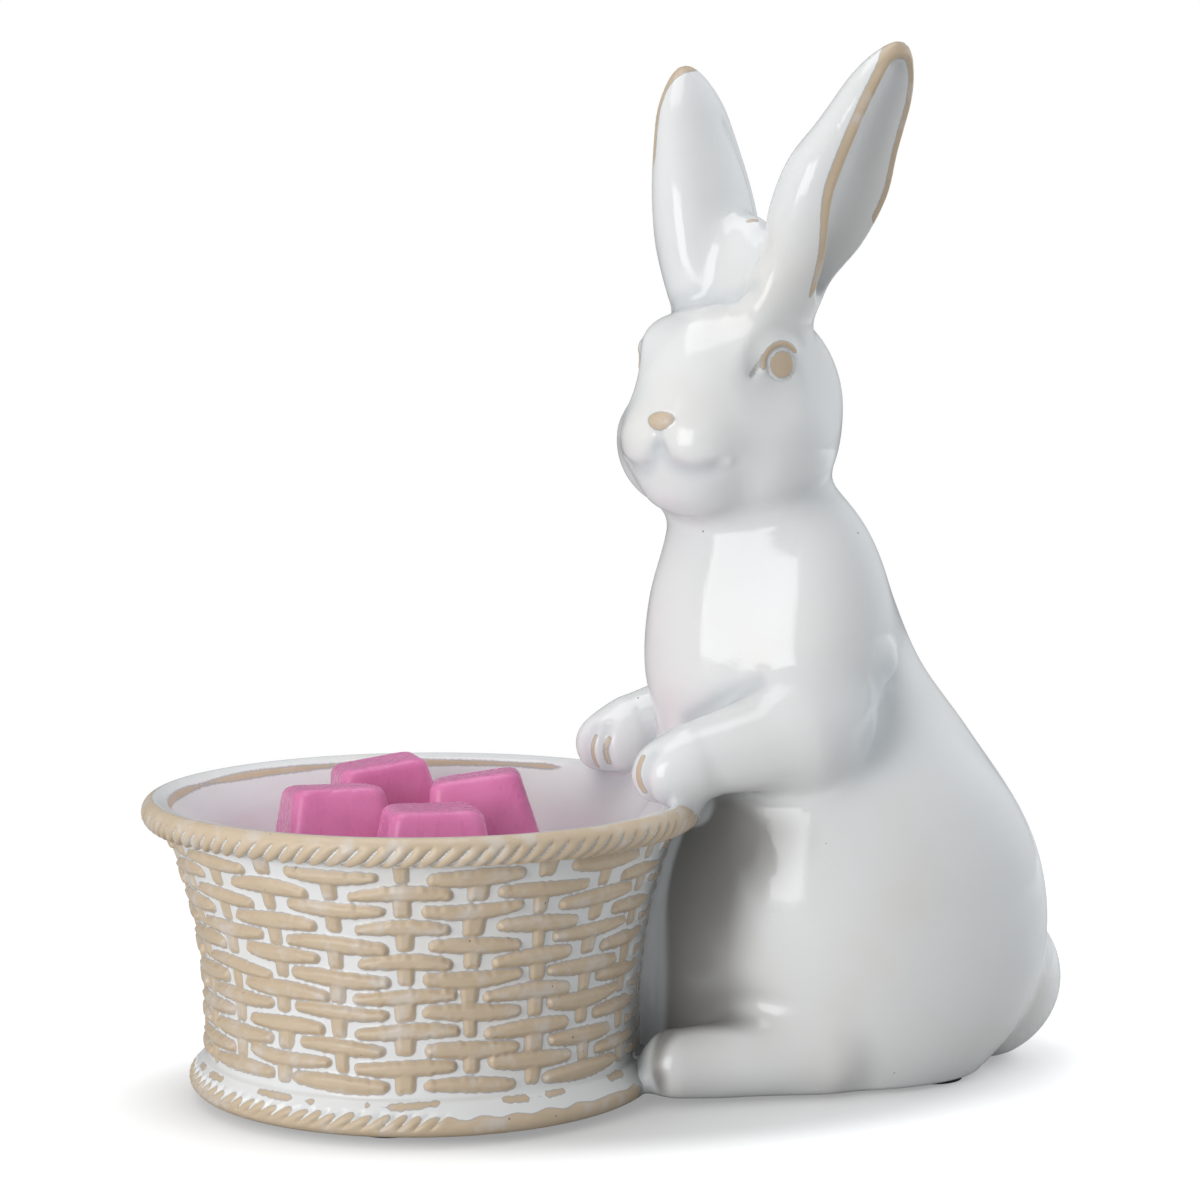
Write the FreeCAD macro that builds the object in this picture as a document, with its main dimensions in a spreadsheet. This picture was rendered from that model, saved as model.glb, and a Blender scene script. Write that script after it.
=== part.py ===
import FreeCAD, Part
import math
import os
import Sketcher
from FreeCAD import Vector

# Wax warmer: a seated rabbit leans over a woven basket whose top is a heated wax dish.
# Millimetres. Z is up and z = 0 is the table. The basket stands on the -X side, the rabbit sits
# on the +X side and faces -X, and Y = 0 is the plane that both share.

doc = FreeCAD.newDocument("rabbit_wax_warmer")
sheet = doc.addObject("Spreadsheet::Sheet", "dims")

DIMENSIONS = {
    "basket": {
        "rim_radius": 56.8,         # centre of the rope bead round the rim
        "rim_bead": 3.2,            # radius of that bead
        "rim_z": 61.7,
        "foot_radius": 47.9,        # centre of the rope bead round the foot
        "foot_bead": 2.6,
        "wall_radius": 46.8,        # outside of the wall, straight up to the flare
        "flare_z": 18.0,
        "neck_radius": 55.2,        # outside of the wall where it meets the rim bead
        "neck_z": 58.9,
        "basket_wall": 4.5,
        "lip_radius": 54.0,         # inner edge of the rim
        "lip_z": 63.3,
        "dish_radius": 48.5,        # foot of the dish wall
        "dish_wall_z": 50.5,
        "dish_flat": 44.5,          # radius of the flat dish floor
        "dish_floor_z": 46.0,
        "dish_thickness": 4.5,
        "lug_radius": 6.5,          # three lugs inside the foot take the base plate's screws
        "lug_ring": 37.0,
        "lug_height": 10.0,
    },
    "rabbit": {
        "rabbit_reach": 45.2,       # basket wall to the middle of the haunches
        "body_wall": 5.0,
        "lap_x": -42.0, "lap_z": 30.0,      # fills in between the haunches and the basket
        "lap_long": 23.0, "lap_wide": 21.0, "lap_tall": 40.0,
        "haunch_x": 8.0, "haunch_y": 18.5, "haunch_z": 35.0,
        "haunch_long": 34.0, "haunch_wide": 20.0, "haunch_tall": 38.0,
        "hindfoot_x": -26.0, "hindfoot_y": 27.0, "hindfoot_z": 11.0,
        "hindfoot_long": 23.5, "hindfoot_wide": 10.6, "hindfoot_tall": 10.6,
        "tail_x": 32.0, "tail_z": 17.0,
        "tail_radius": 22.0, "tail_tall": 20.0,
        "upper_arm_x": -8.0, "upper_arm_y": 15.5, "upper_arm_z": 96.0,
        "upper_arm_long": 31.0, "upper_arm_thick": 16.5, "upper_arm_splay": 2.0,
        "forearm_x": -22.0, "forearm_y": 23.5, "forearm_z": 76.5,
        "forearm_long": 25.0, "forearm_thick": 11.5, "forearm_dip": 14.0,
        "paw_x": -43.0, "paw_y": 23.5, "paw_z": 70.0,
        "paw_long": 9.0, "paw_wide": 8.0,
        "head_x": -22.0, "head_z": 146.0, "head_turn": 40.0,
        "skull_x": 3.0, "skull_long": 21.5, "skull_wide": 21.5, "skull_tall": 24.0,
        "face_x": -10.0, "face_z": -0.5, "face_long": 18.0, "face_wide": 18.5, "face_tall": 20.5,
        "cheek_x": -6.0, "cheek_y": 10.5, "cheek_z": -7.0, "cheek_radius": 14.0,
        "muzzle_x": -18.0, "muzzle_z": -8.0, "muzzle_long": 12.0, "muzzle_radius": 11.5,
        "ear_long": 36.0, "ear_wide": 14.4, "ear_thick": 10.4,
        "ear_scoop": 6.5,           # depth of the hollow in the outer face of each ear
        "left_ear_x": -7.2, "left_ear_y": -17.0, "left_ear_z": 191.0,
        "left_ear_splay": -15.0, "left_ear_lean": 19.0,
        "right_ear_x": -24.0, "right_ear_y": 15.5, "right_ear_z": 186.5,
        "right_ear_splay": 10.0, "right_ear_lean": -6.0,
        "vent_radius": 5.0,         # drain hole in the floor of the hollow body
    },
    "base": {
        "pad_height": 2.0, "pad_radius": 7.0, "pad_ring": 34.5, "pad_angle": -114.0,
        "rear_pad_x": 17.0, "rear_pad_y": 19.0,
        "plate_thickness": 4.0, "plate_clearance": 0.4,
        "plate_vent_ring": 14.0, "plate_vent_radius": 2.2, "plate_vents": 8,
        "screw_radius": 1.5, "screw_head_radius": 2.8, "screw_head_height": 2.0,
        "screw_clearance": 0.15,
        "insert_radius": 2.4, "insert_length": 7.0,
        "base_screw_length": 8.0,
    },
    "heater": {
        "heater_radius": 28.0, "heater_plate_thickness": 3.0,
        "element_radius": 26.0, "element_thickness": 1.6,
        "mica_thickness": 0.8,
        "pan_radius": 31.0, "pan_sheet": 0.8, "pan_height": 11.5, "pan_clearance": 0.5,
        "wool_thickness": 5.0,      # insulating pad under the mica
        "spacer_ring": 22.0, "spacer_radius": 3.2, "spacer_angle": -30.0,
        "nut_radius": 3.1, "nut_height": 2.4,
        "terminal_x": 8.0, "terminal_y": 20.0, "terminal_radius": 1.4, "terminal_drop": 7.0,
        "bushing_radius": 2.6, "bushing_height": 4.0,
    },
    "wiring": {
        "fuse_x": -10.0, "fuse_radius": 2.0, "fuse_length": 12.0,
        "fuse_wire_radius": 0.5, "fuse_wire": 2.0,
        "clip_width": 5.0, "clip_sheet": 0.6,
        "block_y": -26.0, "block_long": 24.0, "block_wide": 12.0, "block_high": 11.0,
        "block_pole": 6.0, "block_bore": 1.6, "block_screw_radius": 2.0,
        "lead_radius": 1.0, "lead_gap": 0.3,
        "grommet_z": 14.0, "grommet_bore": 3.2, "grommet_neck": 5.0,
        "grommet_flange": 6.6, "grommet_flange_thickness": 2.2, "grommet_clearance": 0.1,
    },
    "wax": {
        "cube_base": 25.6, "cube_height": 19.0, "cube_draft": 10.0, "cube_edge": 1.8,
        "cube_gap": 0.3,            # under the lowest edge of each cube
        "front_cube_x": -3.5, "front_cube_y": -26.5, "front_cube_turn": -5.0,
        "front_cube_pitch": 0.0, "front_cube_roll": -3.0,
        "left_cube_x": -19.0, "left_cube_y": 1.5, "left_cube_turn": 0.0,
        "left_cube_pitch": 0.0, "left_cube_roll": -6.0,
        "right_cube_x": 14.0, "right_cube_y": 0.3, "right_cube_turn": -12.0,
        "right_cube_pitch": -8.0, "right_cube_roll": -5.0,
        "back_cube_x": -1.5, "back_cube_y": 29.2, "back_cube_turn": 0.0,
        "back_cube_pitch": -8.0, "back_cube_roll": -3.0,
    },
}

# Rabbit's trunk: height, middle along X, half length and half width of each oval section.
TRUNK = [
    (2.0, -8.0, 42.0, 29.0),
    (12.0, -3.3, 46.2, 31.0),
    (24.0, -0.5, 47.5, 32.0),
    (42.0, 3.0, 43.5, 32.0),
    (60.0, 2.0, 39.0, 29.5),
    (75.0, -4.0, 35.0, 26.0),
    (90.0, -11.0, 31.0, 23.5),
    (105.0, -14.0, 27.0, 21.0),
    (118.0, -15.5, 22.0, 18.5),
    (128.0, -17.5, 18.0, 16.0),
    (134.0, -18.0, 14.5, 13.0),
]


def fill_sheet():
    row = 1
    for group, values in DIMENSIONS.items():
        sheet.set(f"A{row}", group)
        row += 1
        for alias, value in values.items():
            put(row, alias, value)
            row += 1
    for number, section in enumerate(TRUNK, start=1):
        for part, value in zip(("z", "x", "long", "wide"), section):
            put(row, f"trunk_{part}_{number}", value)
            row += 1
    doc.recompute()


def put(row, alias, value):
    sheet.set(f"A{row}", alias)
    sheet.set(f"B{row}", str(value))
    sheet.setAlias(f"B{row}", alias)


fill_sheet()

# Heights and places that follow from the dimensions, as expressions.
BASKET_X = ("(dims.rim_radius + dims.rim_bead - dims.wall_radius - dims.rabbit_reach"
            " - dims.tail_x - dims.tail_radius) / 2")
RABBIT_X = f"{BASKET_X} + dims.wall_radius + dims.rabbit_reach"
CHAMBER = "(dims.wall_radius - dims.basket_wall)"
CEILING_Z = "(dims.dish_floor_z - dims.dish_thickness)"
HEATER_Z = f"({CEILING_Z} - dims.heater_plate_thickness)"
ELEMENT_Z = f"({HEATER_Z} - dims.element_thickness)"
MICA_Z = f"({ELEMENT_Z} - dims.mica_thickness)"
WOOL_Z = f"({MICA_Z} - dims.wool_thickness)"
NUT_Z = f"({WOOL_Z} - dims.nut_height)"
PAN_Z = f"({NUT_Z} - dims.pan_sheet)"
PLATE_TOP_Z = "(dims.pad_height + dims.plate_thickness)"
LUG_ANGLE = "(dims.pad_angle + 60)"


def place(x="0", y="0", z="0", yaw="0", pitch="0", roll="0"):
    """Text of a placement, for use in an expression."""
    return f"placement(vector({x}; {y}; {z}); rotation({yaw}; {pitch}; {roll}))"


BASKET = place(x=BASKET_X)
RABBIT = place(x=RABBIT_X)
HEAD = f"{RABBIT} * " + place(x="dims.head_x", z="dims.head_z", yaw="dims.head_turn")


def ring_place(radius, z, angle, yaw="0", pitch="0", roll="0"):
    """A place on a circle about the basket's axis."""
    return f"{BASKET} * {place(yaw=angle)} * {place(x=radius, z=z, yaw=yaw, pitch=pitch, roll=roll)}"


def bind(thing, placement=None, **sizes):
    for size, expression in sizes.items():
        thing.setExpression(size, expression)
    if placement:
        thing.setExpression("Placement", placement)
    return thing


def ellipsoid(name, placement, along_x, along_y, along_z):
    solid = doc.addObject("Part::Ellipsoid", name)
    return bind(solid, placement, Radius1=along_z, Radius2=along_x, Radius3=along_y)


def cylinder(name, placement, radius, height):
    return bind(doc.addObject("Part::Cylinder", name), placement, Radius=radius, Height=height)


def block(name, placement, length, width, height):
    solid = doc.addObject("Part::Box", name)
    middle = f"{placement} * " + place(x=f"-({length}) / 2", y=f"-({width}) / 2")
    return bind(solid, middle, Length=length, Width=width, Height=height)


def torus(name, placement, ring, bead):
    return bind(doc.addObject("Part::Torus", name), placement, Radius1=ring, Radius2=bead)


def fuse(name, solids):
    """Join solids one after another, which holds up better here than all at once."""
    whole = solids[0]
    for number, solid in enumerate(solids[1:], start=1):
        last = number == len(solids) - 1
        joined = doc.addObject("Part::Fuse", name if last else f"{name}_{number}")
        joined.Base, joined.Tool = whole, solid
        whole = joined
    return whole


def cut(name, base, tools):
    tool = tools[0] if len(tools) == 1 else fuse(f"{name}_cutter", tools)
    whole = doc.addObject("Part::Cut", name)
    whole.Base, whole.Tool = base, tool
    return whole


def group(name, solids):
    whole = doc.addObject("Part::Compound", name)
    whole.Links = solids
    return whole


def body(name, placement=BASKET):
    return bind(doc.addObject("PartDesign::Body", name), placement)


def sketch_on(owner, name, plane, offset=None):
    sketch = owner.newObject("Sketcher::SketchObject", name)
    role = [feature for feature in owner.Origin.OriginFeatures if feature.Role == plane][0]
    sketch.AttachmentSupport = (role, "")
    sketch.MapMode = "FlatFace"
    if offset:
        sketch.setExpression("AttachmentOffset", place(z=offset))
    return sketch


def tie_point(sketch, geometry, end, x, y):
    """Hold one end of a line or arc, or a circle's centre, at a place given by expressions."""
    for kind, axis, expression in (("DistanceX", -2, x), ("DistanceY", -1, y)):
        if expression == "0":
            sketch.addConstraint(Sketcher.Constraint("PointOnObject", geometry, end, axis))
            continue
        value = float(sketch.evalExpression(expression))
        index = sketch.addConstraint(Sketcher.Constraint(kind, -1, 1, geometry, end, value))
        sketch.setExpression(f"Constraints[{index}]", expression)


def arc_between(start, end, tangent):
    """Arc from start to end that leaves start along tangent, and whether it runs clockwise."""
    normal = Vector(-tangent.y, tangent.x, 0)
    chord = end - start
    reach = chord.dot(chord) / (2 * chord.dot(normal))
    centre = start + normal * reach
    first = math.atan2(start.y - centre.y, start.x - centre.x)
    last = math.atan2(end.y - centre.y, end.x - centre.x)
    clockwise = reach < 0
    if clockwise:
        first, last = last, first
    circle = Part.Circle(centre, Vector(0, 0, 1), abs(reach))
    return Part.ArcOfCircle(circle, first, last), clockwise


def outline(owner, name, plane, corners, offset=None):
    """Closed outline through corners, each (x, y) in expressions.

    A third word makes the side that follows an arc: "after" is tangent to the side before it,
    "before" to the side after it.
    """
    sketch = sketch_on(owner, name, plane, offset)
    points = [Vector(float(sketch.evalExpression(corner[0])),
                     float(sketch.evalExpression(corner[1])), 0) for corner in corners]
    count = len(corners)
    starts, ends = [], []
    for number, corner in enumerate(corners):
        here, there = points[number], points[(number + 1) % count]
        clockwise = False
        if len(corner) == 3 and corner[2] == "after":
            tangent = (here - points[number - 1]).normalize()
            shape, clockwise = arc_between(here, there, tangent)
        elif len(corner) == 3:
            tangent = (there - points[(number + 2) % count]).normalize()
            shape, clockwise = arc_between(there, here, tangent)
            clockwise = not clockwise
        else:
            shape = Part.LineSegment(here, there)
        sketch.addGeometry(shape)
        starts.append(2 if clockwise else 1)
        ends.append(1 if clockwise else 2)
    for number, corner in enumerate(corners):
        following = (number + 1) % count
        tied = ("Tangent" if (len(corner) == 3 and corner[2] == "before")
                or (len(corners[following]) == 3 and corners[following][2] == "after")
                else "Coincident")
        sketch.addConstraint(Sketcher.Constraint(
            tied, number, ends[number], following, starts[following]))
        tie_point(sketch, number, starts[number], corner[0], corner[1])
    return sketch


def circles(owner, name, plane, rounds, offset=None):
    """Sketch of circles, each (x, y, radius) in expressions."""
    sketch = sketch_on(owner, name, plane, offset)
    for number, (x, y, radius) in enumerate(rounds):
        value = float(sketch.evalExpression(radius))
        sketch.addGeometry(Part.Circle(Vector(1, 1, 0), Vector(0, 0, 1), value))
        index = sketch.addConstraint(Sketcher.Constraint("Radius", number, value))
        sketch.setExpression(f"Constraints[{index}]", radius)
        tie_point(sketch, number, 3, x, y)
    return sketch


def pad(owner, name, sketch, length):
    feature = owner.newObject("PartDesign::Pad", name)
    feature.Profile = sketch
    return bind(feature, Length=length)


def pocket(owner, name, sketch, depth, upwards=True):
    feature = owner.newObject("PartDesign::Pocket", name)
    feature.Profile = sketch
    feature.Reversed = upwards
    return bind(feature, Length=depth)


def turned(name, corners, placement=BASKET):
    """A piece turned about its own Z axis from an outline in its XZ plane."""
    owner = body(name, placement)
    profile = outline(owner, f"{name}_profile", "XZ_Plane", corners)
    feature = owner.newObject("PartDesign::Revolution", f"{name}_turn")
    feature.Profile = profile
    feature.ReferenceAxis = (profile, ["V_Axis"])
    feature.Angle = 360
    return owner


def disc(name, radius, z, thickness, holes=()):
    """A round plate about the basket's axis, with round holes."""
    owner = body(name)
    pad(owner, f"{name}_pad", circles(owner, f"{name}_edge", "XY_Plane", [("0", "0", radius)], z),
        thickness)
    if holes:
        pocket(owner, f"{name}_holes",
               circles(owner, f"{name}_hole_edges", "XY_Plane", holes, z), thickness)
    return owner


def on_ring(radius, angle):
    """X and Y of a point on a circle, as expressions."""
    return f"{radius} * cos({angle})", f"{radius} * sin({angle})"


# ---- Ceramic body -------------------------------------------------------------------------------

def basket_shell():
    """Foot, woven wall, rim and dish, turned in one piece, open below for the heater."""
    shell = turned("basket_shell", [
        (CHAMBER, "dims.pad_height"),
        ("dims.wall_radius", "dims.pad_height"),
        ("dims.wall_radius", "dims.flare_z", "after"),
        ("dims.neck_radius", "dims.neck_z"),
        ("dims.rim_radius", "dims.rim_z"),
        ("dims.lip_radius", "dims.lip_z"),
        ("dims.dish_radius", "dims.dish_wall_z", "before"),
        ("dims.dish_flat", "dims.dish_floor_z"),
        ("0", "dims.dish_floor_z"),
        ("0", CEILING_Z),
        (CHAMBER, CEILING_Z),
    ])
    rim = torus("rim_bead_ring", f"{BASKET} * {place(z='dims.rim_z')}",
                "dims.rim_radius", "dims.rim_bead")
    foot = torus("foot_bead_ring", f"{BASKET} * {place(z='dims.pad_height + dims.foot_bead')}",
                 "dims.foot_radius", "dims.foot_bead")
    return [shell, rim, foot]


def trunk(name, shrink):
    """The rabbit's trunk, lofted through its oval sections."""
    sections = []
    for number in range(1, len(TRUNK) + 1):
        oval = doc.addObject("Part::Ellipse", f"{name}_{number}")
        lift = f" + {shrink}" if number == 1 else ""
        bind(oval, f"{RABBIT} * " + place(x=f"dims.trunk_x_{number}", z=f"dims.trunk_z_{number}{lift}"),
             MajorRadius=f"dims.trunk_long_{number} - {shrink}",
             MinorRadius=f"dims.trunk_wide_{number} - {shrink}")
        sections.append(oval)
    loft = doc.addObject("Part::Loft", name)
    loft.Sections = sections
    loft.Solid = True
    return loft


def skull(name, shrink):
    return ellipsoid(name, f"{HEAD} * {place(x='dims.skull_x')}", f"dims.skull_long - {shrink}",
                     f"dims.skull_wide - {shrink}", f"dims.skull_tall - {shrink}")


def haunch(name, side, shrink):
    where = place(x="dims.haunch_x", y=f"{side} * dims.haunch_y", z="dims.haunch_z")
    return ellipsoid(name, f"{RABBIT} * {where}", f"dims.haunch_long - {shrink}",
                     f"dims.haunch_wide - {shrink}", f"dims.haunch_tall - {shrink}")


def limbs(hand, side):
    """Hind foot, arm and paw of one side."""
    hindfoot = ellipsoid(
        f"{hand}_hindfoot",
        f"{RABBIT} * " + place(x="dims.hindfoot_x", y=f"{side} * dims.hindfoot_y", z="dims.hindfoot_z"),
        "dims.hindfoot_long", "dims.hindfoot_wide", "dims.hindfoot_tall")
    upper_arm = ellipsoid(
        f"{hand}_upper_arm",
        f"{RABBIT} * " + place(x="dims.upper_arm_x", y=f"{side} * dims.upper_arm_y",
                               z="dims.upper_arm_z", roll=f"{side} * dims.upper_arm_splay")
        + " * " + place(yaw=f"{side} * 90"),
        "dims.upper_arm_thick", "dims.upper_arm_thick", "dims.upper_arm_long")
    forearm = ellipsoid(
        f"{hand}_forearm",
        f"{RABBIT} * " + place(x="dims.forearm_x", y=f"{side} * dims.forearm_y",
                               z="dims.forearm_z", pitch="90 - dims.forearm_dip")
        + " * " + place(yaw=f"{side} * 90"),
        "dims.forearm_thick", "dims.forearm_thick", "dims.forearm_long")
    paw = ellipsoid(
        f"{hand}_paw",
        f"{RABBIT} * " + place(x="dims.paw_x", y=f"{side} * dims.paw_y", z="dims.paw_z"),
        "dims.paw_long", "dims.paw_wide", "dims.paw_wide")
    return [hindfoot, upper_arm, forearm, paw]


def ear(hand, side):
    """A leaf-shaped ear, hollowed on the face that looks away from the head."""
    where = f"{RABBIT} * " + place(x=f"dims.{hand}_ear_x", y=f"dims.{hand}_ear_y",
                                   z=f"dims.{hand}_ear_z")
    turn = place(pitch=f"dims.{hand}_ear_lean") + " * " + place(roll=f"-dims.{hand}_ear_splay")
    across = place(yaw="dims.head_turn")
    leaf = ellipsoid(f"{hand}_ear_leaf", f"{where} * {turn} * {across}",
                     "dims.ear_wide", "dims.ear_thick", "dims.ear_long")
    hollow = ellipsoid(
        f"{hand}_ear_hollow",
        f"{where} * {turn} * {across} * " + place(y=f"{side} * (2 * dims.ear_thick - dims.ear_scoop)"),
        "dims.ear_wide * 0.78", "dims.ear_thick", "dims.ear_long * 0.8")
    return cut(f"{hand}_ear", leaf, [hollow])


def head():
    face = ellipsoid("face", f"{HEAD} * {place(x='dims.face_x', z='dims.face_z')}",
                     "dims.face_long", "dims.face_wide", "dims.face_tall")
    muzzle = ellipsoid("muzzle", f"{HEAD} * {place(x='dims.muzzle_x', z='dims.muzzle_z')}",
                       "dims.muzzle_long", "dims.muzzle_radius", "dims.muzzle_radius")
    cheeks = [ellipsoid(f"{hand}_cheek", f"{HEAD} * " + place(
        x="dims.cheek_x", y=f"{side} * dims.cheek_y", z="dims.cheek_z"),
        "dims.cheek_radius", "dims.cheek_radius", "dims.cheek_radius")
        for hand, side in (("left", -1), ("right", 1))]
    return [skull("skull", "0"), face, muzzle] + cheeks


def slab_below(name, z):
    """Everything under a height, far enough down and out to clear the whole rabbit."""
    return block(name, f"{RABBIT} * {place(z=f'{z} - dims.haunch_tall')}",
                 "6 * dims.rim_radius", "4 * dims.rim_radius", "dims.haunch_tall")


def ceramic_body():
    """Rabbit, basket and dish are one hollow casting."""
    tail = ellipsoid("tail", f"{RABBIT} * {place(x='dims.tail_x', z='dims.tail_z')}",
                     "dims.tail_radius", "dims.tail_radius", "dims.tail_tall")
    lap = ellipsoid("lap", f"{RABBIT} * {place(x='dims.lap_x', z='dims.lap_z')}",
                    "dims.lap_long", "dims.lap_wide", "dims.lap_tall")
    solids = [trunk("trunk", "0"), tail, lap] + head()
    for hand, side in (("left", -1), ("right", 1)):
        solids += [haunch(f"{hand}_haunch", side, "0"), ear(hand, side)] + limbs(hand, side)
    figure = fuse("figure", solids)

    # The rabbit gives way to the dish, to the heater chamber and to the table.
    dish_space = turned("dish_space", [
        ("0", "dims.dish_floor_z"),
        ("dims.dish_flat", "dims.dish_floor_z", "after"),
        ("dims.dish_radius", "dims.dish_wall_z"),
        ("dims.lip_radius", "dims.lip_z"),
        ("dims.lip_radius", "dims.rim_z + dims.rim_bead"),
        ("0", "dims.rim_z + dims.rim_bead"),
    ])
    chamber = cylinder("chamber_space", BASKET, CHAMBER, CEILING_Z)
    below = slab_below("table_space", "dims.pad_height")
    trimmed = cut("trimmed_figure", figure, [dish_space, chamber, below])

    lugs = [cylinder(f"lug_{turn}", ring_place("dims.lug_ring", PLATE_TOP_Z,
                                               f"({LUG_ANGLE} + {120 * turn})"),
                     "dims.lug_radius", "dims.lug_height") for turn in range(3)]
    whole = fuse("ceramic_casting", basket_shell() + [trimmed] + lugs)

    hollow = fuse("hollow", [trunk("trunk_hollow", "dims.body_wall"),
                             skull("skull_hollow", "dims.body_wall"),
                             haunch("left_haunch_hollow", -1, "dims.body_wall"),
                             haunch("right_haunch_hollow", 1, "dims.body_wall")])
    basket_keep = cylinder("basket_keep", BASKET, "dims.wall_radius + dims.body_wall",
                           "dims.rim_z")
    floor_keep = slab_below("floor_keep", "dims.pad_height + dims.body_wall")
    hollow_clear = cut("hollow_clear", hollow, [basket_keep, floor_keep])
    vent = cylinder("vent_hole", RABBIT, "dims.vent_radius",
                    "dims.pad_height + 2 * dims.body_wall")
    cord_hole = cylinder("cord_hole", f"{BASKET} * " + place(
        y=f"{CHAMBER} - dims.basket_wall", z="dims.grommet_z", roll="-90"),
        "dims.grommet_neck", "4 * dims.basket_wall")
    insert_holes = [cylinder(f"insert_hole_{turn}", ring_place(
        "dims.lug_ring", PLATE_TOP_Z, f"({LUG_ANGLE} + {120 * turn})"),
        "dims.insert_radius", "dims.insert_length") for turn in range(3)]
    return cut("ceramic_body", whole, [hollow_clear, vent, cord_hole] + insert_holes)


# ---- Base ---------------------------------------------------------------------------------------

def base_plate():
    """Closes the heater chamber from below and carries everything inside it."""
    plate = disc("base_plate", f"{CHAMBER} - dims.plate_clearance", "dims.pad_height",
                 "dims.plate_thickness")
    screw_points = [on_ring("dims.lug_ring", f"({LUG_ANGLE} + {120 * turn})") for turn in range(3)]
    screw_points += [on_ring("dims.spacer_ring", f"(dims.spacer_angle + {120 * turn})")
                     for turn in range(3)]
    hole = "dims.screw_radius + dims.screw_clearance"
    seat = "dims.screw_head_radius + dims.screw_clearance"
    pocket(plate, "screw_holes", circles(
        plate, "screw_hole_edges", "XY_Plane", [(x, y, hole) for x, y in screw_points],
        "dims.pad_height"), "dims.plate_thickness")
    pocket(plate, "screw_seats", circles(
        plate, "screw_seat_edges", "XY_Plane", [(x, y, seat) for x, y in screw_points],
        "dims.pad_height"), "dims.screw_head_height")
    vents = [on_ring("dims.plate_vent_ring", f"({turn} * 360 / dims.plate_vents + 22.5)")
             for turn in range(DIMENSIONS["base"]["plate_vents"])]
    pocket(plate, "vent_holes", circles(
        plate, "vent_edges", "XY_Plane", [(x, y, "dims.plate_vent_radius") for x, y in vents],
        "dims.pad_height"), "dims.plate_thickness")
    return plate


def basket_feet():
    return group("basket_feet", [
        cylinder(f"basket_foot_{turn}", ring_place(
            "dims.pad_ring", "0", f"(dims.pad_angle + {120 * turn})"),
            "dims.pad_radius", "dims.pad_height") for turn in range(3)])


def rabbit_feet():
    return group("rabbit_feet", [
        cylinder(f"rabbit_foot_{hand}", f"{RABBIT} * " + place(
            x="dims.rear_pad_x", y=f"{side} * dims.rear_pad_y"),
            "dims.pad_radius", "dims.pad_height") for hand, side in (("left", -1), ("right", 1))])


def screw(name, placement, length):
    """Pan-head screw, head down."""
    head_part = cylinder(f"{name}_head", placement, "dims.screw_head_radius",
                         "dims.screw_head_height - dims.screw_clearance")
    shank = cylinder(f"{name}_shank", placement, "dims.screw_radius", length)
    return fuse(name, [head_part, shank])


def base_screws():
    seat = "dims.pad_height + dims.screw_clearance"
    return group("base_screws", [
        screw(f"base_screw_{turn}", ring_place(
            "dims.lug_ring", seat, f"({LUG_ANGLE} + {120 * turn})"), "dims.base_screw_length")
        for turn in range(3)])


def brass_inserts():
    inserts = []
    for turn in range(3):
        where = ring_place("dims.lug_ring", PLATE_TOP_Z, f"({LUG_ANGLE} + {120 * turn})")
        outside = cylinder(f"insert_outside_{turn}", where, "dims.insert_radius", "dims.insert_length")
        thread = cylinder(f"insert_thread_{turn}", where, "dims.screw_radius", "dims.insert_length")
        inserts.append(cut(f"insert_{turn}", outside, [thread]))
    return group("brass_inserts", inserts)


# ---- Heater -------------------------------------------------------------------------------------

def terminal_points():
    return [(f"{side} * dims.terminal_x", "dims.terminal_y") for side in (-1, 1)]


def spacer_points():
    return [on_ring("dims.spacer_ring", f"(dims.spacer_angle + {120 * turn})") for turn in range(3)]


def terminal_holes(radius):
    return [(x, y, radius) for x, y in terminal_points()]


def heater_plate():
    return disc("heater_plate", "dims.heater_radius", HEATER_Z, "dims.heater_plate_thickness")


def heating_element():
    return disc("heating_element", "dims.element_radius", ELEMENT_Z, "dims.element_thickness")


def mica_sheet():
    return disc("mica_sheet", "dims.heater_radius", MICA_Z, "dims.mica_thickness",
                terminal_holes("dims.terminal_radius"))


def insulating_pad():
    return disc("insulating_pad", "dims.pan_radius - dims.pan_sheet - dims.pan_clearance", WOOL_Z,
                "dims.wool_thickness", terminal_holes("dims.terminal_radius"))


def heater_pan():
    """Pressed steel pan that holds the stack up against the dish."""
    pan = turned("heater_pan", [
        ("0", PAN_Z),
        ("dims.pan_radius", PAN_Z),
        ("dims.pan_radius", f"{PAN_Z} + dims.pan_height"),
        ("dims.pan_radius - dims.pan_sheet", f"{PAN_Z} + dims.pan_height"),
        ("dims.pan_radius - dims.pan_sheet", f"{PAN_Z} + dims.pan_sheet"),
        ("0", f"{PAN_Z} + dims.pan_sheet"),
    ])
    holes = terminal_holes("dims.bushing_radius")
    holes += [(x, y, "dims.screw_radius + dims.screw_clearance") for x, y in spacer_points()]
    pocket(pan, "pan_holes", circles(pan, "pan_hole_edges", "XY_Plane", holes, PAN_Z),
           "dims.pan_sheet")
    return pan


def pan_spacers():
    spacers = []
    for turn in range(3):
        where = ring_place("dims.spacer_ring", PLATE_TOP_Z, f"(dims.spacer_angle + {120 * turn})")
        length = f"{PAN_Z} - {PLATE_TOP_Z}"
        outside = cylinder(f"spacer_outside_{turn}", where, "dims.spacer_radius", length)
        bore = cylinder(f"spacer_bore_{turn}", where,
                        "dims.screw_radius + dims.screw_clearance", length)
        spacers.append(cut(f"spacer_{turn}", outside, [bore]))
    return group("pan_spacers", spacers)


def pan_screws():
    seat = "dims.pad_height + dims.screw_clearance"
    return group("pan_screws", [
        screw(f"pan_screw_{turn}", ring_place(
            "dims.spacer_ring", seat, f"(dims.spacer_angle + {120 * turn})"),
            f"{NUT_Z} + dims.nut_height - ({seat})") for turn in range(3)])


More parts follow.
